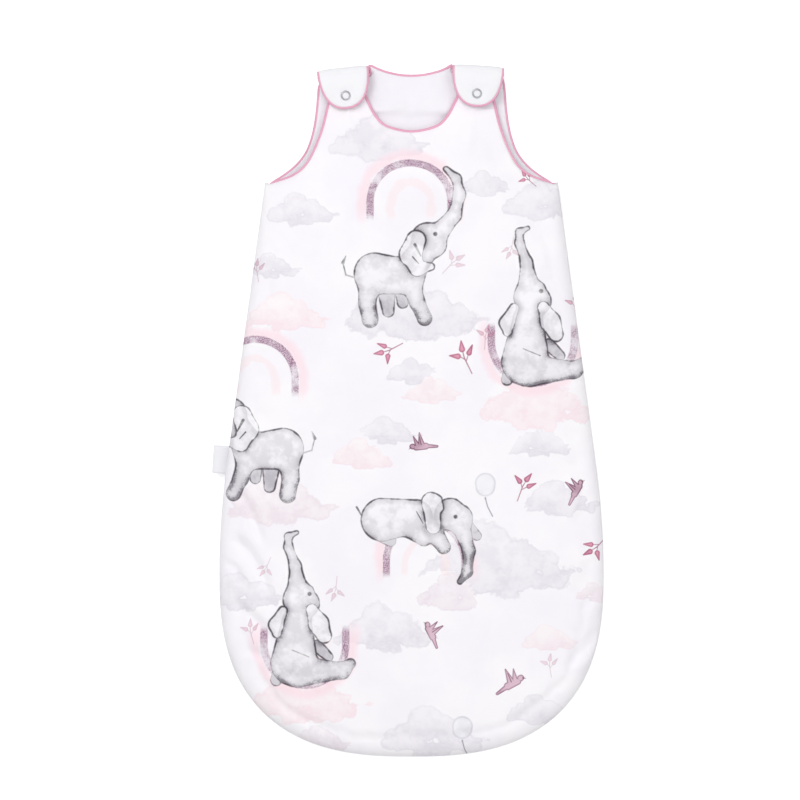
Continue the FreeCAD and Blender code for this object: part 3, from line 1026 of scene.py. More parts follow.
@dataclass
class Sketch:
    """Distances to a drawing's strokes, as shader nodes."""

    graph: Graph
    place: Wire

    def limb(self, limb: Limb) -> Wire:
        """The distance to one stroke's edge, negative inside it."""
        graph = self.graph
        run = (limb.end[0] - limb.start[0], limb.end[1] - limb.start[1])
        square = run[0] ** 2 + run[1] ** 2
        start = (limb.start[0], limb.start[1], 0.0)
        if square < 1e-9:
            return graph.vector("DISTANCE", self.place, start) - limb.first
        away = graph.vector("SUBTRACT", self.place, start)
        share = graph.vector("DOT_PRODUCT", away, (run[0] / square, run[1] / square, 0.0))
        share = graph.math("ADD", share, 0.0, clamp=True)
        gap = graph.vector("DISTANCE", away, graph.vector("SCALE", (run[0], run[1], 0.0), share))
        return graph.math("MULTIPLY_ADD", share, limb.first - limb.last, gap) - limb.first

    def union(self, limbs: Sequence[Limb], blend: float) -> Wire:
        """The distance to several strokes that flow into each other."""
        found = self.limb(limbs[0])
        for limb in limbs[1:]:
            found = self.graph.math("SMOOTH_MIN", found, self.limb(limb), blend)
        return found

    def fill(self, distance: Wire, soft: float) -> Wire:
        """1 inside a shape, with a soft edge."""
        return self.graph.rise(distance, -soft, soft, 1.0, 0.0)

    def ink(self, distance: Wire, width: Wire) -> Wire:
        """1 on the line round a shape."""
        share = self.graph.math("DIVIDE", abs(distance), width)
        return self.graph.math("SUBTRACT", 1.0, share * share, clamp=True)


@dataclass(frozen=True)
class Animal:
    """A plain young elephant, drawn from rounded strokes."""

    kind: Kind
    body: tuple[Limb, ...]
    ears: tuple[Limb, ...]
    behind: tuple[Limb, ...]
    lines: tuple[Limb, ...]
    eye: tuple[float, float]
    shade_low: float = -1.2
    shade_high: float = 0.6

    def group(self) -> bpy.types.NodeTree:
        """Builds the shader group that draws the animal.

        Returns:
            A group that turns a place into masks for the fill, the shading and the ink.
        """
        made = GroupMaker(f"drawing_{self.kind.value}",
                          {"Place": "Vector", "Grain": "Float", "Speckle": "Float"},
                          {"Fill": "Float", "Shade": "Float", "Ink": "Float"})
        graph = made.graph
        grain, speckle = made.given("Grain"), made.given("Speckle")
        wobble = (grain - 0.5) * 0.05
        place = graph.vector("MULTIPLY", made.given("Place"), (1.0, 1.0, 0.0))
        sketch = Sketch(graph, place)
        width = graph.rise(grain, 0.34, 0.66, 0.010, 0.040)
        body = sketch.union(self.body, 0.16) + wobble
        ears = sketch.union(self.ears, 0.10) + wobble
        behind = sketch.union(self.behind, 0.05) + wobble
        lines = sketch.union(self.lines, 0.02)
        eye = sketch.limb(Limb(self.eye, self.eye, 0.055, 0.055))
        fill_body, fill_ears = sketch.fill(body, 0.012), sketch.fill(ears, 0.012)
        fill_behind = sketch.fill(behind, 0.012)
        whole = graph.math("MAXIMUM", graph.math("MAXIMUM", fill_body, fill_ears), fill_behind)
        outside = 1.0 - graph.math("MAXIMUM", fill_body, fill_ears)
        _, y, _ = graph.split(place)
        low = graph.rise(y, self.shade_low, self.shade_high, 1.0, 0.0)
        round_edge = graph.rise(body, -0.20, 0.0, 0.0, 1.0) * fill_body
        under_ear = graph.rise(ears, 0.0, 0.20, 1.0, 0.0) * (1.0 - fill_ears)
        back_legs = fill_behind * outside
        patches = graph.rise(grain, 0.40, 0.62)
        shade = low * 0.22 + round_edge * 0.34 + under_ear * 0.40 + patches * 0.34 + back_legs * 0.36
        depth = low * round_edge * 0.62 + under_ear * 0.34 + back_legs * 0.10
        hatch = graph.rise(speckle * 0.8 + depth * (patches * 0.5 + 0.6), 0.66, 0.86) * whole
        ink = sketch.ink(body, width) * (1.0 - fill_ears)
        ink = graph.math("MAXIMUM", ink, sketch.ink(ears, width))
        ink = graph.math("MAXIMUM", ink, sketch.ink(behind, width) * outside)
        ink = graph.math("MAXIMUM", ink, sketch.fill(lines, 0.012))
        ink = graph.math("MAXIMUM", ink, sketch.fill(eye, 0.02))
        made.give("Fill", whole)
        made.give("Shade", graph.math("MULTIPLY", shade, whole, clamp=True))
        line = ink * graph.rise(grain, 0.36, 0.60, 0.40, 1.0)
        made.give("Ink", graph.math("MAXIMUM", line, hatch * 0.62, clamp=True))
        return made.graph.tree


ANIMALS = (
    Animal(
        Kind.WALKING,
        body=(
            Limb((-0.50, 0.16), (0.34, 0.08), 0.54, 0.46), Limb((0.90, 1.06), (1.04, 0.94), 0.44, 0.36),
            Limb((0.42, 0.24), (0.80, 0.80), 0.42, 0.36),
            Limb((1.22, 1.26), (1.60, 1.70), 0.25, 0.17), Limb((1.60, 1.70), (1.74, 2.24), 0.17, 0.14),
            Limb((1.74, 2.24), (1.66, 2.66), 0.14, 0.11), Limb((1.66, 2.66), (1.38, 2.92), 0.11, 0.07),
            Limb((-0.62, 0.00), (-0.70, -0.62), 0.34, 0.20), Limb((-0.70, -0.62), (-0.62, -1.06), 0.20, 0.21),
            Limb((0.46, -0.10), (0.62, -0.60), 0.28, 0.18), Limb((0.62, -0.60), (0.82, -1.02), 0.18, 0.19),
        ),
        ears=(
            Limb((0.60, 1.04), (0.44, 0.66), 0.26, 0.28), Limb((0.44, 0.66), (0.62, 0.30), 0.28, 0.20),
            Limb((0.62, 0.30), (0.98, 0.34), 0.20, 0.10),
        ),
        behind=(
            Limb((-0.20, -0.24), (-0.14, -0.84), 0.24, 0.15),
            Limb((0.20, -0.30), (0.24, -0.62), 0.16, 0.14),
        ),
        lines=(Limb((-1.04, 0.05), (-1.26, 0.12), 0.02, 0.02),
               Limb((-1.26, 0.12), (-1.34, 0.44), 0.02, 0.015),
               Limb((-1.34, 0.44), (-1.26, 0.62), 0.045, 0.01), Limb((0.56, 0.92), (0.72, 0.62), 0.04, 0.015),
               Limb((0.50, 0.60), (0.66, 0.42), 0.02, 0.01)),
        eye=(1.10, 1.20),
    ),
    Animal(
        Kind.SITTING,
        body=(
            Limb((-0.04, -0.92), (0.02, 0.14), 0.62, 0.40), Limb((0.12, -1.16), (1.22, -1.14), 0.40, 0.20),
            Limb((1.22, -1.14), (1.44, -0.96), 0.20, 0.13), Limb((0.12, 0.72), (0.22, 0.62), 0.46, 0.40),
            Limb((0.04, 1.06), (-0.02, 1.62), 0.26, 0.14), Limb((-0.02, 1.62), (-0.20, 2.12), 0.14, 0.10),
            Limb((-0.20, 2.12), (-0.20, 2.40), 0.10, 0.08), Limb((-0.20, 2.40), (0.02, 2.50), 0.08, 0.05),
        ),
        ears=(
            Limb((0.42, 0.46), (0.60, 0.10), 0.15, 0.26), Limb((0.60, 0.10), (0.74, -0.22), 0.26, 0.20),
            Limb((-0.34, 0.44), (-0.52, 0.06), 0.12, 0.19), Limb((-0.52, 0.06), (-0.50, -0.16), 0.19, 0.12),
        ),
        behind=(
            Limb((0.56, -0.50), (0.86, -0.78), 0.16, 0.12),
            Limb((-0.40, -1.20), (-0.52, -1.40), 0.22, 0.14),
        ),
        lines=(
            Limb((-0.10, -0.60), (0.34, -0.78), 0.012, 0.012),
            Limb((-0.40, -1.44), (-0.10, -1.56), 0.03, 0.02),
        ),
        eye=(0.36, 0.88),
        shade_low=-1.9,
    ),
    Animal(
        Kind.LYING,
        body=(
            Limb((-1.22, 0.08), (-0.30, 0.18), 0.58, 0.44), Limb((0.62, 0.22), (0.84, 0.12), 0.44, 0.38),
            Limb((0.92, -0.12), (1.12, -0.76), 0.24, 0.15), Limb((1.12, -0.76), (1.08, -1.34), 0.15, 0.12),
            Limb((1.08, -1.34), (0.88, -1.60), 0.12, 0.07),
            Limb((-0.70, 0.02), (-0.10, -0.44), 0.30, 0.19), Limb((0.10, -0.16), (0.44, -0.66), 0.26, 0.18),
        ),
        ears=(Limb((0.10, 0.56), (0.16, -0.10), 0.26, 0.20), Limb((0.26, 0.60), (0.30, 0.40), 0.14, 0.14)),
        behind=(
            Limb((1.10, -0.10), (1.34, -0.36), 0.15, 0.12),
            Limb((-1.30, -0.30), (-1.00, -0.50), 0.20, 0.14),
        ),
        lines=(
            Limb((-1.78, 0.18), (-1.92, 0.42), 0.02, 0.03),
            Limb((-0.30, 0.30), (-0.12, -0.02), 0.015, 0.012),
        ),
        eye=(0.76, 0.16),
    ),
)


class Drawings:
    """The shader groups of the print's smaller drawings."""

    @staticmethod
    def cloud() -> bpy.types.NodeTree:
        """A heaped cloud in one wash, darker where the paint pooled along its edge."""
        made = GroupMaker("drawing_cloud", {"Place": "Vector", "Grain": "Float", "Bloom": "Float"},
                          {"Fill": "Float", "Tone": "Float", "Blush": "Float"})
        graph = made.graph
        grain, bloom = made.given("Grain"), made.given("Bloom")
        place = graph.vector("MULTIPLY", made.given("Place"), (1.0, 1.0, 0.0))
        sketch = Sketch(graph, place)
        heap = sketch.union((
            Limb((-0.46, 0.02), (-0.46, 0.02), 0.28, 0.28), Limb((-0.10, 0.20), (-0.10, 0.20), 0.38, 0.38),
            Limb((0.36, 0.06), (0.36, 0.06), 0.32, 0.32), Limb((-0.86, -0.16), (0.90, -0.20), 0.11, 0.13),
            Limb((-0.72, -0.02), (-0.72, -0.02), 0.17, 0.17), Limb((0.66, 0.02), (0.72, -0.02), 0.17, 0.16),
            Limb((0.76, -0.10), (1.18, -0.08), 0.11, 0.03), Limb((-0.20, -0.26), (0.30, -0.30), 0.16, 0.12),
        ), 0.03)
        heap = heap + (grain - 0.5) * 0.42 + (bloom - 0.5) * 0.05
        made.give("Fill", sketch.fill(heap, 0.020))
        pooled = graph.rise(heap, -0.07, -0.01, 0.0, 0.30)
        _, y, z = graph.split(made.given("Place"))
        under = graph.rise(y, -0.35, 0.30, 0.34, 0.0)
        wash = graph.rise(grain * 0.8 + bloom * 0.2, 0.38, 0.62, 0.05, 0.55)
        made.give("Tone", graph.math("ADD", wash + under, pooled, clamp=True))
        made.give("Blush", z)
        return made.graph.tree

    @staticmethod
    def arch() -> bpy.types.NodeTree:
        """A rainbow: a wide pink wash, a band of glitter and a pale inner bow."""
        made = GroupMaker("drawing_arch", {"Place": "Vector", "Grain": "Float", "Speckle": "Float"},
                          {"Wash": "Float", "Glitter": "Float", "Inner": "Float", "Depth": "Float"})
        graph = made.graph
        grain, speckle = made.given("Grain"), made.given("Speckle")
        x, y, _ = graph.split(made.given("Place"))
        above = graph.math("MAXIMUM", y, 0.0)
        radius = graph.math("SQRT", x * x + above * above)
        ragged = radius + (grain - 0.5) * 0.30
        ends = graph.rise(y, -0.42, -0.24)
        wash = graph.rise(ragged, 0.92, 1.00) * graph.rise(ragged, 1.08, 1.26, 1.0, 0.0)
        edge = radius + (speckle - 0.5) * 0.05
        band = graph.rise(edge, 0.80, 0.82) * graph.rise(edge, 0.96, 0.98, 1.0, 0.0)
        inner = graph.rise(ragged, 0.34, 0.40) * graph.rise(ragged, 0.50, 0.58, 1.0, 0.0)
        made.give("Wash", wash * graph.rise(y, -0.60, -0.10) * (grain * 0.5 + 0.55))
        made.give("Glitter", band * ends * graph.rise(grain, 0.34, 0.56, 0.30, 1.0))
        made.give("Inner", inner * ends * 0.8)
        made.give("Depth", speckle)
        return made.graph.tree

    @staticmethod
    def small(kind: Kind, limbs: Sequence[Limb], lines: Sequence[Limb]) -> bpy.types.NodeTree:
        """A small drawing of filled strokes and fine lines.

        Args:
            kind: which drawing it is.
            limbs: the strokes that are filled.
            lines: the fine lines.

        Returns:
            The shader group.
        """
        made = GroupMaker(f"drawing_{kind.value}", {"Place": "Vector", "Grain": "Float"},
                          {"Fill": "Float", "Rim": "Float", "Line": "Float"})
        graph = made.graph
        place = graph.vector("MULTIPLY", made.given("Place"), (1.0, 1.0, 0.0))
        sketch = Sketch(graph, place)
        shape = sketch.union(limbs, 0.02)
        made.give("Fill", sketch.fill(shape, 0.03))
        made.give("Rim", graph.rise(shape, -0.12, -0.02) * sketch.fill(shape, 0.03))
        made.give("Line", sketch.fill(sketch.union(lines, 0.01), 0.03))
        return made.graph.tree


SPRIG = (
    (Limb((0.04, 0.38), (0.12, 0.80), 0.17, 0.04), Limb((-0.28, 0.08), (-0.68, 0.24), 0.16, 0.04),
     Limb((0.34, 0.08), (0.62, 0.42), 0.15, 0.04)),
    (Limb((0.16, -1.0), (0.02, -0.10), 0.025, 0.03), Limb((0.02, -0.10), (0.04, 0.24), 0.03, 0.02),
     Limb((0.02, -0.18), (-0.16, 0.02), 0.025, 0.02), Limb((0.06, -0.30), (0.24, -0.04), 0.025, 0.02)),
)
BIRD = (
    (Limb((-0.30, -0.10), (0.36, 0.14), 0.25, 0.22), Limb((0.54, 0.32), (0.58, 0.34), 0.21, 0.20),
     Limb((-0.06, 0.10), (-0.34, 0.96), 0.26, 0.05), Limb((0.20, 0.20), (0.16, 0.94), 0.20, 0.04),
     Limb((-0.44, -0.18), (-1.00, -0.50), 0.16, 0.10)),
    (Limb((0.70, 0.32), (0.88, 0.28), 0.04, 0.01), Limb((-0.05, 0.15), (-0.22, 0.70), 0.03, 0.02)),
)
BALLOON = (
    (Limb((0.0, 0.36), (0.0, 0.50), 0.44, 0.46), Limb((0.0, -0.08), (0.0, -0.14), 0.03, 0.07)),
    (Limb((0.0, -0.14), (0.10, -0.52), 0.018, 0.018), Limb((0.10, -0.52), (0.32, -0.94), 0.018, 0.018)),
)


@dataclass(frozen=True)
class PrintedCotton:
    """White cotton with a watercolour nursery print."""

    name: str = "printed_cotton"
    ground: tuple[int, int, int] = (252, 250, 253)
    ground_shade: tuple[int, int, int] = (248, 245, 251)

    def make(self, effects: Effects) -> bpy.types.Material:
        """Builds the material.

        Args:
            effects: the shared shader groups.

        Returns:
            The material.
        """
        made, graph, shader = new_material(self.name)
        place = graph.place()
        woven = graph.use(effects.weave, Place=place, Threads=THREADS_PER_MM * TURN_PER_MM)
        grain = graph.noise(place, 52.0, 3.0, 0.6)
        bloom = graph.noise(place, 240.0, 2.0, 0.6)
        speckle = graph.noise(place, 1150.0, 2.0, 0.7)
        pools = graph.noise(place, 19.0, 3.0, 0.5)
        colour = graph.mix(graph.rise(pools, 0.35, 0.65), tint(*self.ground_shade), tint(*self.ground))
        colour = self._clouds(graph, colour, grain, bloom)
        colour = self._arches(graph, colour, grain, speckle)
        colour = self._small(graph, colour, grain)
        for animal in ANIMALS:
            colour = self._animal(graph, colour, animal, grain * 0.82 + bloom * 0.18, speckle)
        colour = graph.mix(woven["Shade"] * 0.05, colour, tint(214, 208, 220))
        graph.put(colour, shader.inputs["Base Color"])
        graph.put(graph.rise(woven["Shade"], 0.2, 0.9, 0.86, 0.76), shader.inputs["Roughness"])
        shader.inputs["Sheen Weight"].default_value = 0.2
        shader.inputs["Specular IOR Level"].default_value = 0.25
        wrinkles = graph.use(effects.wrinkle, Place=place, Scale=0.55)["Height"]
        graph.put(graph.bump(woven["Height"] * 0.07 + wrinkles, 0.6, 0.0022), shader.inputs["Normal"])
        return made

    @staticmethod
    def _clouds(graph: Graph, colour: Wire, grain: Wire, bloom: Wire) -> Wire:
        """Lays the clouds on the ground."""
        place = graph.attribute(Kind.CLOUD.attribute)
        cloud = graph.use(Drawings.cloud(), Place=place, Grain=grain, Bloom=bloom)
        grey = graph.mix(cloud["Tone"], tint(248, 245, 250), tint(231, 227, 235))
        rosy = graph.mix(cloud["Tone"], tint(253, 247, 249), tint(249, 232, 238))
        wash = graph.mix(cloud["Blush"], grey, rosy)
        return graph.mix(cloud["Fill"], colour, wash)

    @staticmethod
    def _arches(graph: Graph, colour: Wire, grain: Wire, speckle: Wire) -> Wire:
        """Lays the rainbows over the clouds."""
        place = graph.attribute(Kind.ARCH.attribute)
        arch = graph.use(Drawings.arch(), Place=place, Grain=grain, Speckle=speckle)
        colour = graph.mix(arch["Wash"] * 0.9, colour, tint(253, 226, 234))
        colour = graph.mix(arch["Inner"] * 0.6, colour, tint(252, 232, 234))
        glitter = graph.mix(graph.rise(arch["Depth"], 0.40, 0.60), tint(140, 94, 126), tint(228, 208, 222))
        return graph.mix(arch["Glitter"], colour, glitter)

    @staticmethod
    def _small(graph: Graph, colour: Wire, grain: Wire) -> Wire:
        """Lays the sprigs, the birds and the balloons."""
        for kind, (limbs, lines), light, deep, line in (
            (Kind.SPRIG, SPRIG, (226, 158, 180), (164, 72, 112), (168, 96, 124)),
            (Kind.BIRD, BIRD, (222, 190, 206), (116, 56, 90), (104, 50, 82)),
            (Kind.BALLOON, BALLOON, (246, 245, 249), (216, 214, 222), (120, 112, 124)),
        ):
            group = Drawings.small(kind, limbs, lines)
            place = graph.attribute(kind.attribute)
            drawn = graph.use(group, Place=place, Grain=grain)
            _, _, blush = graph.split(place)
            strength = 1.0 - blush * 0.62
            mottle = graph.rise(grain, 0.4, 0.7, 0.0, 0.4)
            depth = graph.math("ADD", drawn["Rim"] * 0.7, mottle, clamp=True)
            body = graph.mix(depth, tint(*light), tint(*deep))
            colour = graph.mix(drawn["Fill"] * strength, colour, body)
            colour = graph.mix(drawn["Line"] * strength, colour, tint(*line))
        return colour

    @staticmethod
    def _animal(graph: Graph, colour: Wire, animal: Animal, grain: Wire, speckle: Wire) -> Wire:
        """Lays one kind of elephant over what is there."""
        place = graph.attribute(animal.kind.attribute)
        drawn = graph.use(animal.group(), Place=place, Grain=grain, Speckle=speckle)
        skin = graph.mix(drawn["Shade"], tint(250, 248, 252), tint(180, 175, 184))
        colour = graph.mix(drawn["Fill"], colour, skin)
        return graph.mix(drawn["Ink"], colour, tint(60, 52, 62))


MOTIFS = (
    Motif(Kind.CLOUD, -0.036, 0.270, 0.046), Motif(Kind.CLOUD, 0.078, 0.312, 0.022),
    Motif(Kind.CLOUD, 0.074, 0.225, 0.026), Motif(Kind.CLOUD, 0.130, 0.207, 0.040),
    Motif(Kind.CLOUD, -0.113, 0.198, 0.034), Motif(Kind.CLOUD, -0.142, 0.142, 0.026),
    Motif(Kind.CLOUD, -0.002, 0.096, 0.066), Motif(Kind.CLOUD, -0.128, 0.094, 0.040, blush=1.0),
    Motif(Kind.CLOUD, 0.002, 0.036, 0.028), Motif(Kind.CLOUD, 0.016, 0.018, 0.028, blush=0.9),
    Motif(Kind.CLOUD, -0.026, -0.024, 0.030), Motif(Kind.CLOUD, -0.050, -0.048, 0.032, blush=0.9),
    Motif(Kind.CLOUD, 0.122, 0.004, 0.056, blush=1.0), Motif(Kind.CLOUD, 0.127, -0.036, 0.031),
    Motif(Kind.CLOUD, 0.146, -0.092, 0.037), Motif(Kind.CLOUD, -0.136, -0.094, 0.052, blush=0.5),
    Motif(Kind.CLOUD, 0.082, -0.156, 0.074), Motif(Kind.CLOUD, 0.044, -0.186, 0.040, blush=0.4),
    Motif(Kind.CLOUD, -0.172, -0.186, 0.040), Motif(Kind.CLOUD, -0.030, -0.223, 0.048),
    Motif(Kind.CLOUD, 0.136, -0.232, 0.026, blush=0.8), Motif(Kind.CLOUD, 0.126, -0.304, 0.031),
    Motif(Kind.CLOUD, 0.018, -0.328, 0.051), Motif(Kind.CLOUD, -0.096, -0.334, 0.030, blush=0.3),
    Motif(Kind.CLOUD, 0.184, -0.186, 0.020, blush=0.5), Motif(Kind.CLOUD, -0.110, -0.292, 0.056, blush=1.0),
    Motif(Kind.ARCH, -0.001, 0.207, 0.0455), Motif(Kind.ARCH, -0.157, 0.030, 0.045),
    Motif(Kind.ARCH, 0.122, 0.068, 0.047, turn=math.pi),
    Motif(Kind.ARCH, -0.107, -0.236, 0.046, turn=math.pi), Motif(Kind.ARCH, 0.014, -0.152, 0.044),
    Motif(Kind.WALKING, -0.018, 0.130, 0.038), Motif(Kind.WALKING, -0.148, -0.046, 0.038, flipped=True),
    Motif(Kind.SITTING, 0.116, 0.084, 0.039), Motif(Kind.SITTING, -0.116, -0.219, 0.038),
    Motif(Kind.LYING, 0.016, -0.114, 0.037), Motif(Kind.SPRIG, -0.024, 0.058, 0.017, turn=1.9),
    Motif(Kind.SPRIG, 0.052, 0.053, 0.019, turn=0.3), Motif(Kind.SPRIG, 0.112, -0.076, 0.017, turn=-0.5),
    Motif(Kind.SPRIG, 0.074, 0.074, 0.014, turn=-0.2, blush=0.8),
    Motif(Kind.SPRIG, 0.185, -0.140, 0.017, turn=2.2), Motif(Kind.SPRIG, -0.156, 0.141, 0.013, blush=0.8),
    Motif(Kind.SPRIG, 0.100, 0.160, 0.013, turn=2.8, blush=1.0),
    Motif(Kind.SPRIG, 0.116, 0.232, 0.012, turn=0.7),
    Motif(Kind.SPRIG, -0.076, -0.182, 0.014, turn=2.9, blush=1.0),
    Motif(Kind.SPRIG, 0.164, 0.106, 0.014, blush=0.5),
    Motif(Kind.SPRIG, -0.162, -0.222, 0.014, turn=0.1, blush=0.9),
    Motif(Kind.SPRIG, 0.138, -0.256, 0.013, blush=1.0),
    Motif(Kind.SPRIG, 0.042, 0.148, 0.016, turn=-0.9, blush=1.0),
    Motif(Kind.SPRIG, -0.146, -0.160, 0.012, turn=2.6, blush=1.0),
    Motif(Kind.BIRD, 0.010, -0.038, 0.014, turn=0.5, flipped=True),
    Motif(Kind.BIRD, 0.166, -0.082, 0.014, turn=0.6),
    Motif(Kind.BIRD, 0.019, -0.225, 0.014, turn=-0.7, flipped=True),
    Motif(Kind.BIRD, 0.101, -0.276, 0.016, turn=0.1), Motif(Kind.BALLOON, 0.074, -0.086, 0.023),
    Motif(Kind.BALLOON, 0.051, -0.330, 0.023),
)


def lay_out_print(pad: "Pad", motifs: Sequence[Motif], mirrored_print: bool = False) -> None:
    """Stores, at each corner of each face, where it lies in the nearest drawing of each kind.

    Args:
        pad: the pad that is printed.
        motifs: the drawings on the cloth.
        mirrored_print: whether the print faces down.
    """
    mesh = pad.piece.data
    corners = np.empty(len(mesh.loops), np.int64)
    mesh.loops.foreach_get("vertex_index", corners)
    starts = np.empty(len(mesh.polygons), np.int64)
    mesh.polygons.foreach_get("loop_start", starts)
    totals = np.empty(len(mesh.polygons), np.int64)
    mesh.polygons.foreach_get("loop_total", totals)
    flat = pad.flat * np.array([-1.0 if mirrored_print else 1.0, 1.0])
    places = flat[corners]
    middles = np.add.reduceat(places, starts, axis=0) / totals[:, None]
    for kind in Kind:
        found = [motif for motif in motifs if motif.kind is kind]
        centres = np.array([(motif.x, motif.y) for motif in found])
        sizes = np.array([motif.size for motif in found])
        gaps = np.linalg.norm(middles[:, None, :] - centres[None], axis=2) / sizes[None]
        owner = np.repeat(gaps.argmin(1), totals)
        turns = np.array([motif.turn for motif in found])[owner]
        mirror = np.array([-1.0 if motif.flipped else 1.0 for motif in found])[owner]
        away = (places - centres[owner]) / sizes[owner][:, None]
        x = (away[:, 0] * np.cos(turns) + away[:, 1] * np.sin(turns)) * mirror
        y = -away[:, 0] * np.sin(turns) + away[:, 1] * np.cos(turns)
        blush = np.array([motif.blush for motif in found])[owner]
        layer = mesh.attributes.new(kind.attribute, "FLOAT_VECTOR", "CORNER")
        layer.data.foreach_set("vector", np.stack([x, y, blush], axis=1).astype(np.float32).ravel())


# ---------------------------------------------------------------------------------------------
# Sub-assemblies
# ---------------------------------------------------------------------------------------------


@dataclass(frozen=True)
class Crease:
    """A shallow fold line in a quilt."""

    start: tuple[float, float]
    end: tuple[float, float]
    width: float
    depth: float

    def height(self, flat: np.ndarray) -> np.ndarray:
        """The change of height at flat points."""
        a, b = np.array(self.start), np.array(self.end)
        along = b - a
        length = np.linalg.norm(along)
        share = ((flat - a) @ along) / length**2
        gap = (flat - a) @ np.array([-along[1], along[0]]) / length
        gap = gap - 0.10 * length * np.sin(np.pi * np.clip(share, 0, 1))
        fade = smooth_step(share / 0.3) * smooth_step((1 - share) / 0.3)
        groove = np.exp(-((gap / self.width) ** 2))
        ridge = np.exp(-(((gap - 1.8 * self.width) / (1.2 * self.width)) ** 2))
        return fade * self.depth * (0.55 * ridge - groove)


@dataclass
class Palette:
    """Every finish of the bag, built once."""

    effects: Effects = field(default_factory=Effects)

    def __post_init__(self) -> None:
        """Builds the materials."""
        effects = self.effects
        white = ClothFinish("white_cotton", (250, 250, 252), (243, 243, 248), wrinkles=0.55)
        lining = ClothFinish("lining_cotton", (250, 248, 253), (242, 240, 247), wrinkles=0.8)
        piping = ClothFinish("pink_binding", (240, 182, 204), (226, 158, 186), 2.2, 0.5, sheen=0.4)
        label = ClothFinish("label_tape", (246, 246, 249), (226, 226, 232), 2.0, 0.5)
        tape = ClothFinish("zip_tape", (206, 202, 210), (176, 172, 184), 1.6, 0.8)
        self.printed = PrintedCotton().make(effects)
        self.white = white.make(effects)
        self.lining = lining.make(effects)
        self.piping = piping.make(effects)
        self.label = label.make(effects)
        self.tape = tape.make(effects)
        self.snap = MetalFinish("snap_metal", (196, 196, 202), 0.3).make()
        self.slider = MetalFinish("zip_metal", (188, 188, 194), 0.26).make()
        self.teeth = PlasticFinish("zip_coil", (214, 210, 218)).make()


def dress(piece: bpy.types.Object, material: bpy.types.Material) -> bpy.types.Object:
    """Gives a piece its finish."""
    piece.data.materials.clear()
    piece.data.materials.append(material)
    return piece


def two_faced(pad: Pad, outer: bpy.types.Material, inner: bpy.types.Material, outer_up: bool) -> None:
    """Gives a pad one finish on its outside and another on its inside.

    Args:
        pad: the pad.
        outer: the finish of the outside.
        inner: the finish of the inside.
        outer_up: whether the outside is the upper cloth.
    """
    materials = pad.piece.data.materials
    materials.clear()
    materials.append(outer)
    materials.append(inner)
    indices = np.zeros(len(pad.piece.data.polygons), np.int32)
    if outer_up:
        indices[pad.upper_faces :] = 1
    else:
        indices[: pad.upper_faces] = 1
    pad.piece.data.polygons.foreach_set("material_index", indices)


def ripple(flat: np.ndarray, size: float, height: float, seed: float) -> np.ndarray:
    """Gentle unevenness of a filled quilt at flat points."""
    return height * np.array([noise.noise(Vector((x / size, y / size, seed))) for x, y in flat])


def pipe_edges(pad: Pad, panel: str, split: float, radius: float, palette: Palette) -> None:
    """Makes a quilt's three runs of piping.

    Args:
        pad: the quilt.
        panel: "front" or "back", as in the nodes' names.
        split: how far from the centre line the neck's run gives way to the armholes'.
        radius: the piping's radius.
        palette: the finishes.
    """
    runs = {
        f"{panel}_armhole_piping_right": lambda p: p[:, 0] > split,
        f"{panel}_neck_piping": lambda p: np.abs(p[:, 0]) <= split,
        f"{panel}_armhole_piping_left": lambda p: p[:, 0] < -split,
    }
    for name, test in runs.items():
        run = resample(pad.edge_run(Edge.PIPED, test), 2.5 * MM)
        piping = sweep(f"{name}_tube", run, radius)
        dress(piping, palette.piping)
        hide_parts(name)
        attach(piping, "bag")
        LOG.info("%s", name)


FRONT_NODES = ("front_outer_panel", "front_filling", "front_lining", "front_yoke_lining", "front_edge_roll")
BACK_NODES = ("back_outer_panel", "back_filling", "back_lining", "back_edge_roll")


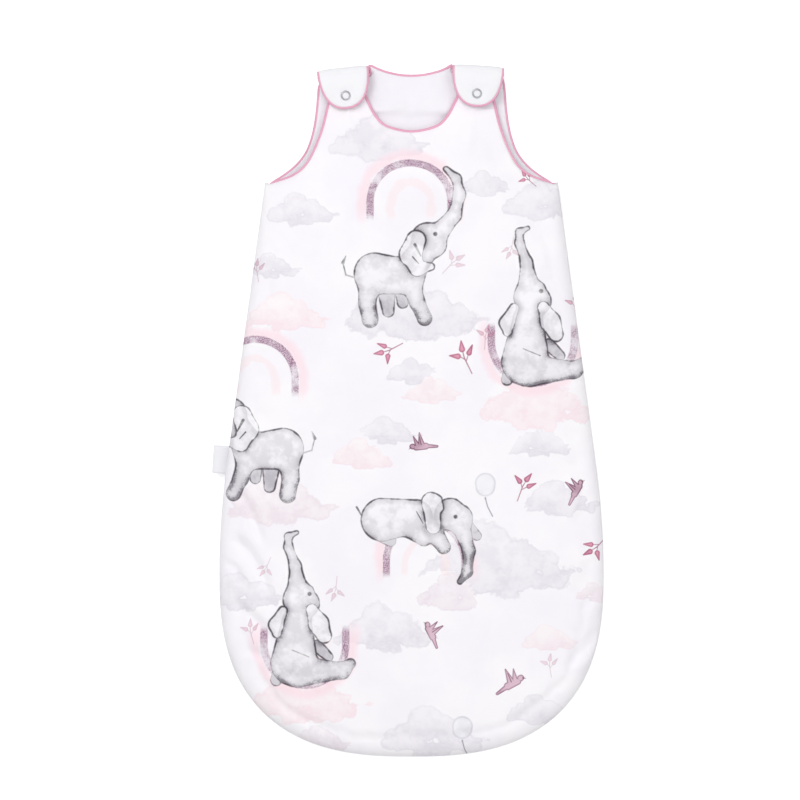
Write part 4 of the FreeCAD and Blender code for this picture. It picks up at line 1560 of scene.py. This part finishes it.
@dataclass
class FrontQuilt:
    """The padded front, with its piping."""

    cut: Cut
    palette: Palette
    edge_z: float = 16.0 * MM
    seam_z: float = 12.0 * MM
    side_radius: float = 15.0 * MM
    puff: float = 24.0 * MM
    strap_from: float = 308.0 * MM
    chest_from: float = 215.0 * MM
    tube: float = 1.85 * MM
    sim_pressure: float = 2.2
    creases: tuple[Crease, ...] = (
        Crease((-0.186, -0.070), (-0.150, -0.150), 0.0050, 0.0034),
        Crease((-0.189, -0.120), (-0.140, -0.205), 0.0060, 0.0040),
        Crease((-0.186, -0.190), (-0.128, -0.262), 0.0055, 0.0034),
        Crease((-0.176, -0.236), (-0.104, -0.292), 0.0050, 0.0026),
        Crease((-0.190, -0.150), (-0.165, -0.182), 0.0035, 0.0024),
        Crease((0.187, -0.214), (0.150, -0.262), 0.0050, 0.0030),
        Crease((0.189, -0.176), (0.166, -0.206), 0.0040, 0.0022),
        Crease((0.060, -0.338), (0.040, -0.300), 0.0050, 0.0018),
    )
    pad: Pad = field(init=False)
    top_z: float = field(init=False)
    cavity_z: float = field(init=False)
    strap_top: float = field(init=False)
    strap_low: float = field(init=False)

    def __post_init__(self) -> None:
        """Reads the quilt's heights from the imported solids."""
        _, outer_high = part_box("front_outer_panel")
        stud_low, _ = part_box("snap_stud_left")
        ring_low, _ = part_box("snap_stud_ring_left")
        self.top_z = outer_high.z
        self.cavity_z = self.top_z - 10 * MM
        self.strap_top = stud_low.z
        self.strap_low = ring_low.z + 0.8 * MM

    def build(self) -> bpy.types.Object:
        """Makes the quilt, fills it and dresses it."""
        hem = self.cut.hem(0.0, self.cut.armpit_y)
        armhole, strap, neck = self.cut.armhole(True), self.cut.strap_end(), self.cut.neck()
        outline = build_outline([
            (armhole, Edge.PIPED), (strap, Edge.PIPED), (neck, Edge.PIPED),
            (mirrored(strap), Edge.PIPED), (mirrored(armhole), Edge.PIPED), (hem[::-1], Edge.HEM),
        ])
        outline = tucked(outline, self.tube)
        self.pad = Pad("front_quilt", outline, self._top, self._bottom)
        piece = self.pad.build()
        two_faced(self.pad, self.palette.printed, self.palette.lining, outer_up=True)
        lay_out_print(self.pad, MOTIFS)
        field_ = Field.of(self.pad.flat, outline)
        edge = np.minimum(field_.hem, field_.piped)
        pins = 1.0 - 0.97 * smooth_step((edge - 4 * MM) / (22 * MM))
        relax(self.pad, pins, self.sim_pressure, 0.010, 2.2 * MM)
        self._crease()
        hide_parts(*FRONT_NODES)
        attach(piece, "bag")
        LOG.info("front quilt: %d faces", len(piece.data.polygons))
        return piece

    def _level(self, y: np.ndarray, strap_z: float, chest_z: float) -> np.ndarray:
        """A height that is level over the chest and sinks towards the straps."""
        share = np.clip((self.strap_from - y) / (self.strap_from - self.chest_from), 0, 1)
        return strap_z + (1 - np.cos(np.pi * share)) / 2 * (chest_z - strap_z)

    def _middle(self, field_: Field) -> np.ndarray:
        """The height of the piped edges."""
        strap_z = (self.strap_top + self.strap_low) / 2
        chest_z = (self.top_z + self.cavity_z) / 2 - 4 * MM
        level = self._level(field_.y, strap_z, chest_z)
        return self.seam_z + 1 * MM + (level - self.seam_z - 1 * MM) * smooth_step(field_.hem / (50 * MM))

    def _pinch(self, field_: Field) -> np.ndarray:
        """0 at a piped edge, where the layers are sewn together, and 1 where the filling is full."""
        return round_over(field_.piped, self.puff) ** 0.8

    def _top(self, field_: Field) -> np.ndarray:
        """The height of the outer cloth."""
        full = self._level(field_.y, self.strap_top, self.top_z - 2.5 * MM)
        full = full + 2.5 * MM * smooth_step(field_.hem / (70 * MM)) * smooth_step(field_.piped / (70 * MM))
        full = full + ripple(field_.flat, 0.055, 0.9 * MM, 3.0) * smooth_step(field_.hem / (20 * MM))
        side = round_over(field_.hem, self.side_radius)
        surface = self.edge_z + (full - self.edge_z) * side
        sewn = self._middle(field_) + 0.9 * MM
        return sewn + (surface - sewn) * self._pinch(field_)

    def _bottom(self, field_: Field) -> np.ndarray:
        """The height of the lining."""
        full = self._level(field_.y, self.strap_low, self.cavity_z)
        under = self.seam_z + (self.edge_z - self.seam_z) * (1 - round_over(field_.hem, 5 * MM))
        surface = under + (full - self.seam_z) * smooth_step((field_.hem - 6 * MM) / (30 * MM))
        sewn = self._middle(field_) - 0.9 * MM
        return sewn + (surface - sewn) * self._pinch(field_)

    def _crease(self) -> None:
        """Presses the fold lines into the outer cloth."""
        places = coordinates(self.pad.piece)
        upper = slice(self.pad.loop_count, self.pad.sheet_count)
        flat = self.pad.flat[upper]
        for crease in self.creases:
            places[upper, 2] += crease.height(flat)
        set_coordinates(self.pad.piece, places)

    def pipe(self) -> None:
        """Makes the piping round the neck and the armholes."""
        pipe_edges(self.pad, "front", 65 * MM, self.tube, self.palette)


def tucked(outline: Outline, depth: float) -> Outline:
    """The outline with its piped edges moved in by the piping's own radius."""
    loop = outline.points
    share = (outline.kinds == Edge.PIPED.value).astype(float)
    return Outline(loop + inward_normals(loop) * depth * share[:, None], outline.kinds)


@dataclass
class BackQuilt:
    """The padded back that the bag lies on, with its piping."""

    cut: Cut
    palette: Palette
    shoulders: dict[Side, Shoulder]
    inset: float = 5.0 * MM
    edge_z: float = 6.5 * MM
    inner_z: float = 6.0 * MM
    strap_half: float = 26.3 * MM
    tube: float = 1.65 * MM
    neck_rise: float = 10.5 * MM
    neck_corner: float = 1.4 * MM
    sim_pressure: float = 2.0
    pad: Pad = field(init=False)

    def build(self) -> bpy.types.Object:
        """Makes the quilt, fills it and dresses it."""
        hem = self.cut.hem(self.inset, self.cut.armpit_y)
        runs = []
        for side in (Side.RIGHT, Side.LEFT):
            shoulder = self.shoulders[side]
            outer = shoulder.place(side.sign * self.strap_half, 0, 0)[:2]
            inner = shoulder.place(-side.sign * self.strap_half, 0, 0)[:2]
            armhole = self._armhole(side, outer)
            strap = resample(np.array([outer, inner]), self.cut.spacing)
            if side is Side.RIGHT:
                runs += [(armhole, Edge.PIPED), (strap, Edge.CUT)]
                neck_start = inner
            else:
                neck = self._neck(neck_start, inner)
                runs += [(neck, Edge.PIPED), (strap[::-1], Edge.CUT), (armhole[::-1], Edge.PIPED)]
        runs.append((hem[::-1], Edge.HEM))
        outline = tucked(build_outline(runs), self.tube)
        self.pad = Pad("back_quilt", outline, self._top, self._bottom)
        piece = self.pad.build()
        two_faced(self.pad, self.palette.printed, self.palette.lining, outer_up=False)
        lay_out_print(self.pad, MOTIFS, mirrored_print=True)
        field_ = Field.of(self.pad.flat, outline)
        edge = np.minimum(np.minimum(field_.hem, field_.piped), field_.cut)
        lower = np.arange(len(self.pad.flat)) >= self.pad.sheet_count
        pins = np.where(lower, 1.0, 1.0 - 0.97 * smooth_step((edge - 4 * MM) / (22 * MM)))
        relax(self.pad, pins, self.sim_pressure, 0.012, 2.5 * MM)
        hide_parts(*BACK_NODES)
        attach(piece, "bag")
        LOG.info("back quilt: %d faces", len(piece.data.polygons))
        return piece

    def _armhole(self, side: Side, end: np.ndarray) -> np.ndarray:
        """One armhole's edge, from the armpit up to the strap's outer corner."""
        right = self.cut.armhole(False)
        shape = right * np.array([side.sign, 1.0])
        shape = shape[shape[:, 1] < end[1] - 6 * MM]
        return smooth_curve(np.vstack([shape[::4], end]), self.cut.spacing)

    def _neck(self, start: np.ndarray, end: np.ndarray) -> np.ndarray:
        """The neck's edge, from the right strap's inner corner to the left one's."""
        rise, corner = self.neck_rise, self.neck_corner
        right = [(0.0340, 0.3446), (0.0260, 0.3415), (0.0130, 0.3385)]
        left = [(-x, y) for x, y in reversed(right)]
        points = [start, start + np.array([corner, rise]), *right, (0.0, 0.3375), *left]
        points += [end + np.array([-corner, rise]), end]
        return smooth_curve(points, self.cut.spacing)

    def _pinch(self, field_: Field) -> np.ndarray:
        """0 at a piped edge and 1 where the filling is full."""
        return round_over(field_.piped, 20 * MM) ** 0.8

    def _top(self, field_: Field) -> np.ndarray:
        """The height of the lining, which faces the baby's back."""
        body = smooth_step((field_.hem - 4 * MM) / (26 * MM))
        near_seam = self.edge_z + 4.0 * MM * round_over(field_.hem, 6 * MM)
        surface = near_seam + (self.inner_z - near_seam) * body
        strap = np.clip((field_.y - 0.300) / 0.030, 0, 1)
        surface = surface - 1.0 * MM * strap
        sewn = 3.6 * MM
        return sewn + (surface - sewn) * self._pinch(field_)

    def _bottom(self, field_: Field) -> np.ndarray:
        """The height of the outer cloth, flat on the bed."""
        side = self.edge_z * (1 - round_over(field_.hem, 8 * MM))
        sewn = 1.7 * MM
        return sewn + (side - sewn) * self._pinch(field_)

    def pipe(self) -> None:
        """Makes the piping round the neck and the armholes."""
        pipe_edges(self.pad, "back", 60 * MM, self.tube, self.palette)


@dataclass
class ShoulderTab:
    """The end of a back strap that folds over to the front, with its press stud."""

    shoulder: Shoulder
    palette: Palette
    half_width: float = 26.3 * MM
    reach: float = 32.65 * MM
    fold_radius: float = 7.35 * MM
    half_thickness: float = 2.5 * MM
    rounding: float = 2.4
    tube: float = 1.55 * MM
    blend_low: float = 5.2 * MM
    blend_high: float = 14.5 * MM
    pad: Pad = field(init=False)
    snap: np.ndarray = field(init=False)

    @property
    def fold_length(self) -> float:
        """The length of the bend."""
        return math.pi * self.fold_radius

    def build(self) -> bpy.types.Object:
        """Makes the padded strap end with its bend, and dresses it."""
        name = self.shoulder.body
        side = self.shoulder.side.value
        outline = tucked(self._outline(), self.tube)
        ring_low, ring_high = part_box(f"snap_cap_{side}")
        centre = (ring_low + ring_high) / 2
        local = self.shoulder.local(np.array([[centre.x, centre.y]]))[0]
        self.snap = np.array([local[0], self.fold_length - local[1]])
        rings = (0.7 * MM, 1.8 * MM)
        self.pad = Pad(f"{name}_quilt", outline, self._top, self._bottom, grid=2.6 * MM, rings=rings)
        piece = self.pad.build()
        places = coordinates(piece)
        set_coordinates(piece, self._folded(places))
        self.pad.flat = places[:, :2]
        two_faced(self.pad, self.palette.white, self.palette.lining, outer_up=True)
        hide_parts(f"tab_outer_{side}", f"tab_filling_{side}", f"tab_lining_{side}",
                    f"shoulder_fold_{side}")
        self._bend(piece)
        LOG.info("%s: %d faces", piece.name, len(piece.data.polygons))
        return piece

    def _outline(self) -> Outline:
        """The flat outline: cut across at the hinge, piped all round the rest."""
        angles = np.linspace(0, math.pi, 90)
        across = np.cos(angles)
        x = np.sign(across) * self.half_width * np.abs(across) ** (2 / self.rounding)
        depth = 42.5 * MM
        y = self.fold_length - 9.85 * MM + depth * np.sin(angles) ** (2 / self.rounding)
        end = np.stack([x, y], axis=1)
        start = np.array([[self.half_width, 0.0]])
        finish = np.array([[-self.half_width, 0.0]])
        rim = resample(np.vstack([start, end, finish]), 2.6 * MM)
        cut = resample(np.vstack([finish, start]), 2.6 * MM)
        return build_outline([(rim, Edge.PIPED), (cut, Edge.CUT)])

    def _folded(self, places: np.ndarray) -> np.ndarray:
        """Flat strap places bent round the fold and set on the shoulder."""
        across, along, offset = places.T
        turn = np.clip(along / self.fold_radius, 0, math.pi)
        radius = self.fold_radius + offset
        hinge = self.shoulder.hinge
        head = np.where(along < self.fold_length, radius * np.sin(turn), self.fold_length - along)
        flat_z = hinge.z + radius
        height = np.where(along < self.fold_length, hinge.z - radius * np.cos(turn), flat_z)
        return np.array([self.shoulder.place(x, y, z) for x, y, z in zip(across, head, height)])

    def _puff(self, field_: Field) -> np.ndarray:
        """0 at the piped rim and 1 where the filling is full."""
        return round_over(field_.piped, 11 * MM)

    def _dimple(self, field_: Field) -> np.ndarray:
        """1 at the press stud, fading out round it."""
        gap = np.linalg.norm(field_.flat - self.snap, axis=1)
        return 1 - smooth_step((gap - 4.2 * MM) / (8 * MM))

    def _top(self, field_: Field) -> np.ndarray:
        """The outer cloth's offset from the strap's middle."""
        crown = 0.9 * MM * smooth_step((field_.y - self.fold_length) / (8 * MM))
        full = self.half_thickness + crown - (crown + 0.25 * MM) * self._dimple(field_)
        return 0.7 * MM + (full - 0.7 * MM) * self._puff(field_)

    def _bottom(self, field_: Field) -> np.ndarray:
        """The lining's offset from the strap's middle."""
        return -0.7 * MM - (self.half_thickness - 0.7 * MM) * self._puff(field_)

    def _bend(self, piece: bpy.types.Object) -> None:
        """Bakes a piece's placement into its mesh; the points where it would bend at the shoulder are worked
        out but not used.
        """
        start = self.shoulder.place(0, 0, self.blend_low)
        end = self.shoulder.place(0, 0, self.blend_high)
        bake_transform(piece)

    def pipe(self) -> None:
        """Makes the piping round the tab."""
        side = self.shoulder.side.value
        run = self.pad.edge_run(Edge.PIPED, lambda p: np.ones(len(p), bool))
        run = resample(run, 1.8 * MM)
        piping = sweep(f"tab_piping_{side}_tube", run, self.tube, up=(1.0, 0.0, 0.0), capped=False)
        dress(piping, self.palette.piping)
        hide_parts(f"tab_piping_{side}")
        self._bend(piping)
        LOG.info("tab piping %s", side)


@dataclass
class PressStud:
    """One ring press stud: ring and socket on the tab, stud and ring on the front strap."""

    shoulder: Shoulder
    palette: Palette
    outer: float = 5.0 * MM
    hole: float = 3.3 * MM

    def build(self) -> None:
        """Makes the four pressed parts."""
        side = self.shoulder.side.value
        makers = {
            f"snap_cap_{side}": (self._cap, self.shoulder.body),
            f"snap_socket_{side}": (self._socket, self.shoulder.body),
            f"snap_stud_{side}": (self._stud, "bag"),
            f"snap_stud_ring_{side}": (self._under_ring, "bag"),
        }
        for node, (profile, body) in makers.items():
            low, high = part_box(node)
            centre = Vector(((low.x + high.x) / 2, (low.y + high.y) / 2, 0.0))
            points, closed = profile(low.z, high.z)
            piece = lathe(f"{node}_pressed", points, centre, 40, closed)
            dress(piece, self.palette.snap)
            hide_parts(node)
            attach(piece, body)
            LOG.info("%s", node)

    def _rolled(self, middle: float, half: float, low: float, high: float) -> list[tuple[float, float]]:
        """The oval section of a rolled ring."""
        centre, tall = (low + high) / 2, (high - low) / 2
        turns = [2 * math.pi * step / 16 for step in range(16)]
        return [(middle + half * math.cos(turn), centre + tall * math.sin(turn)) for turn in turns]

    def _cap(self, low: float, high: float) -> tuple[list[tuple[float, float]], bool]:
        """The open ring that shows on top of the tab."""
        middle = (self.outer + self.hole) / 2
        return self._rolled(middle, (self.outer - self.hole) / 2, high - 1.15 * MM, high), True

    def _socket(self, low: float, high: float) -> tuple[list[tuple[float, float]], bool]:
        """The socket under the tab, with its spring groove."""
        return [
            (2.6 * MM, low), (3.4 * MM, low), (3.7 * MM, low + 0.5 * MM), (4.6 * MM, low + 0.8 * MM),
            (5.0 * MM, low + 1.2 * MM), (5.0 * MM, high), (2.6 * MM, high), (2.9 * MM, (low + high) / 2),
        ], True

    def _stud(self, low: float, high: float) -> tuple[list[tuple[float, float]], bool]:
        """The stud on the front strap, with its waisted post."""
        base = low + 0.6 * MM
        return [
            (0.0, low), (4.8 * MM, low), (5.0 * MM, low + 0.25 * MM), (4.7 * MM, base),
            (2.6 * MM, base + 0.05 * MM), (1.75 * MM, base + 0.3 * MM), (1.7 * MM, high - 0.9 * MM),
            (2.0 * MM, high - 0.5 * MM), (1.8 * MM, high - 0.12 * MM), (1.3 * MM, high), (0.0, high),
        ], False

    def _under_ring(self, low: float, high: float) -> tuple[list[tuple[float, float]], bool]:
        """The ring under the front strap."""
        middle = (self.outer + self.hole) / 2
        return self._rolled(middle, (self.outer - self.hole) / 2, low, low + 1.0 * MM), True


@dataclass
class SideLabel:
    """The blank loop of tape that stands out of the left side."""

    palette: Palette
    thickness: float = 1.0 * MM
    length: float = 28 * MM
    seam_depth: float = 6 * MM
    sag: float = 1.8 * MM
    turn: float = math.radians(-4)
    columns: int = 24
    rows: int = 20

    def build(self) -> None:
        """Makes the folded loop of tape."""
        low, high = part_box("side_label")
        length, turn, columns, rows = self.length, self.turn, self.columns, self.rows
        reach = high.x - low.x + self.seam_depth
        centre = (low + high) / 2 + Vector((self.seam_depth / 2, 0.0, 0.0))
        loops = []
        for row in range(rows + 1):
            y = -length / 2 + length * row / rows
            edge = 1 - 0.25 * (1 if row in (0, rows) else 0)
            ring = []
            for column in range(columns):
                angle = 2 * math.pi * column / columns
                x = math.copysign(abs(math.cos(angle)) ** 0.25, math.cos(angle)) * reach / 2
                swell = 0.7 + 0.5 * smooth_step(np.array((-x + reach / 2) / reach))
                z = math.sin(angle) * self.thickness * swell
                sag = -self.sag * smooth_step(np.array((-x) / (reach / 2)))
                ring.append((x * (1 - 0.01 * (1 - edge)), y, z * edge + float(sag)))
            loops.append(ring)
        vertices = []
        for ring in loops:
            for x, y, z in ring:
                vertices.append((
                    centre.x + x * math.cos(turn) - y * math.sin(turn),
                    centre.y + x * math.sin(turn) + y * math.cos(turn),
                    centre.z + z,
                ))
        piece = make_mesh("side_label_loop", np.array(vertices), tube_faces(rows + 1, columns))
        dress(piece, self.palette.label)
        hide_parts("side_label")
        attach(piece, "bag")
        LOG.info("side label")


@dataclass
class Zip:
    """The zip in the recess under the front's edge.

    Each loop of the coil is loop_half wide either way at its middle, narrows at its ends, and takes up
    loop_share of the pitch.
    """

    cut: Cut
    palette: Palette
    pitch: float = 1.6 * MM
    inset: float = 3.95 * MM
    loop_half: float = 0.55 * MM
    loop_share: float = 0.806
    narrowing: float = 0.72
    foot_turn_y: float = -0.165

    def build(self) -> None:
        """Dresses the tapes, the garage, the stops, the slider and the puller, and makes the teeth."""
        for node, material, slot in (
            ("zip_tape_front", self.palette.tape, "zip_tape"),
            ("zip_tape_back", self.palette.tape, "zip_tape"),
            ("zip_garage", self.palette.piping, "pink_piping"),
            ("zip_top_stop", self.palette.slider, "zip_metal"),
            ("zip_bottom_stop", self.palette.slider, "zip_metal"),
            ("zip_slider", self.palette.slider, "zip_metal"),
            ("zip_puller", self.palette.slider, "zip_metal"),
        ):
            dress(frame["nodes"][node], material)
        for node in ("zip_teeth_front", "zip_teeth_back"):
            self._teeth(node)

    def _teeth(self, node: str) -> None:
        """One row of coil loops along a tape's edge."""
        low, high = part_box(node)
        path = self.cut.hem(self.inset, high.y)
        past_end = (path[:, 0] < low.x) | ((path[:, 0] < 0) & (path[:, 1] > self.foot_turn_y))
        path = resample(path[~past_end], self.pitch)
        normals = left_normals(path)
        along = unit_rows(np.gradient(path, axis=0))
        middle = (low.z + high.z) / 2
        reach = (high.z - low.z) / 2
        half = self.loop_half
        section = [(-half, -1.0), (-half, 1.0), (half, 1.0), (half, -1.0)]
        vertices, faces = [], []
        for place, normal, direction in zip(path, normals, along):
            start = len(vertices)
            for step in (-0.5, 0.0, 0.5):
                swell = 1.0 if step == 0.0 else self.narrowing
                for across, up in section:
                    flat = place + normal * across * swell + direction * step * self.loop_share * self.pitch
                    vertices.append((flat[0], flat[1], middle + up * reach * swell))
            for ring in (0, 4):
                for corner in range(4):
                    after = (corner + 1) % 4
                    faces.append((start + ring + corner, start + ring + after,
                                  start + ring + 4 + after, start + ring + 4 + corner))
            faces.append((start, start + 1, start + 2, start + 3))
            faces.append((start + 11, start + 10, start + 9, start + 8))
        piece = make_mesh(f"{node}_coil", np.array(vertices), faces)
        dress(piece, self.palette.teeth)
        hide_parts(node)
        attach(piece, "bag")
        LOG.info("%s: %d loops", node, len(path))


@dataclass
class Studio:
    """The plain floor, the soft lights and the camera above."""

    camera_height: float = 6.0
    lens: float = 267.4
    aim: tuple[float, float] = (-0.0116, 0.0091)
    horizon: float = 0.22
    zenith: float = 0.84

    def build(self) -> None:
        """Makes the floor, the lights and the camera."""
        self._floor()
        self._light("key", (-1.1, 1.5, 2.6), 1.6, 32.0)
        self._light("fill", (1.5, -0.9, 2.4), 2.2, 15.0)
        world = bpy.data.worlds.new("studio")
        world.use_nodes = True
        dome = Graph(world.node_tree)
        _, _, height = dome.split(Wire(dome, dome.add("ShaderNodeTexCoord").outputs["Generated"]))
        backdrop = world.node_tree.nodes["Background"]
        backdrop.inputs["Color"].default_value = (1.0, 1.0, 1.0, 1.0)
        dome.put(dome.rise(height, 0.0, 0.8, self.horizon, self.zenith), backdrop.inputs["Strength"])
        bpy.context.scene.world = world
        lens = bpy.data.cameras.new("camera")
        lens.lens = self.lens
        lens.sensor_width = 36.0
        lens.clip_end = 50.0
        camera = bpy.data.objects.new("camera", lens)
        camera.location = (*self.aim, self.camera_height)
        bpy.context.scene.collection.objects.link(camera)
        bpy.context.scene.camera = camera
        bpy.context.scene.view_settings.view_transform = "Standard"

    def _floor(self) -> None:
        """A plain white floor."""
        size = 6.0
        corners = [(-size, -size, 0), (size, -size, 0), (size, size, 0), (-size, size, 0)]
        floor = make_mesh("floor", np.array(corners) - np.array([0, 0, 0.0004]), [(0, 1, 2, 3)])
        made, graph, shader = new_material("floor_paper")
        graph.put(graph.mix(graph.noise(graph.place(), 3.0), tint(242, 242, 243), tint(238, 238, 239)),
                  shader.inputs["Base Color"])
        shader.inputs["Roughness"].default_value = 1.0
        shader.inputs["Specular IOR Level"].default_value = 0.0
        shader.inputs["Emission Color"].default_value = (1.0, 1.0, 1.0, 1.0)
        seen = Wire(graph, graph.add("ShaderNodeLightPath").outputs["Is Camera Ray"])
        graph.put(seen * 0.45, shader.inputs["Emission Strength"])
        floor.data.materials.append(made)

    @staticmethod
    def _light(name: str, place: tuple[float, float, float], size: float, power: float) -> None:
        """A large soft light that faces the bag."""
        data = bpy.data.lights.new(name, "AREA")
        data.size = size
        data.energy = power
        light = bpy.data.objects.new(name, data)
        light.location = place
        light.rotation_euler = Vector(place).to_track_quat("Z", "Y").to_euler()
        bpy.context.scene.collection.objects.link(light)


def main() -> None:
    """Builds the bag, piece by piece, and the studio round it."""
    logging.basicConfig(level=logging.INFO, format="%(message)s")
    cut = Cut.from_frame()
    palette = Palette()
    shoulders = {side: Shoulder.from_frame(side) for side in Side}
    back = BackQuilt(cut, palette, shoulders)
    back.build()
    back.pipe()
    front = FrontQuilt(cut, palette)
    front.build()
    front.pipe()
    for shoulder in shoulders.values():
        tab = ShoulderTab(shoulder, palette)
        tab.build()
        tab.pipe()
        PressStud(shoulder, palette).build()
    SideLabel(palette).build()
    Zip(cut, palette).build()
    Studio().build()


if __name__ == "__main__":
    main()
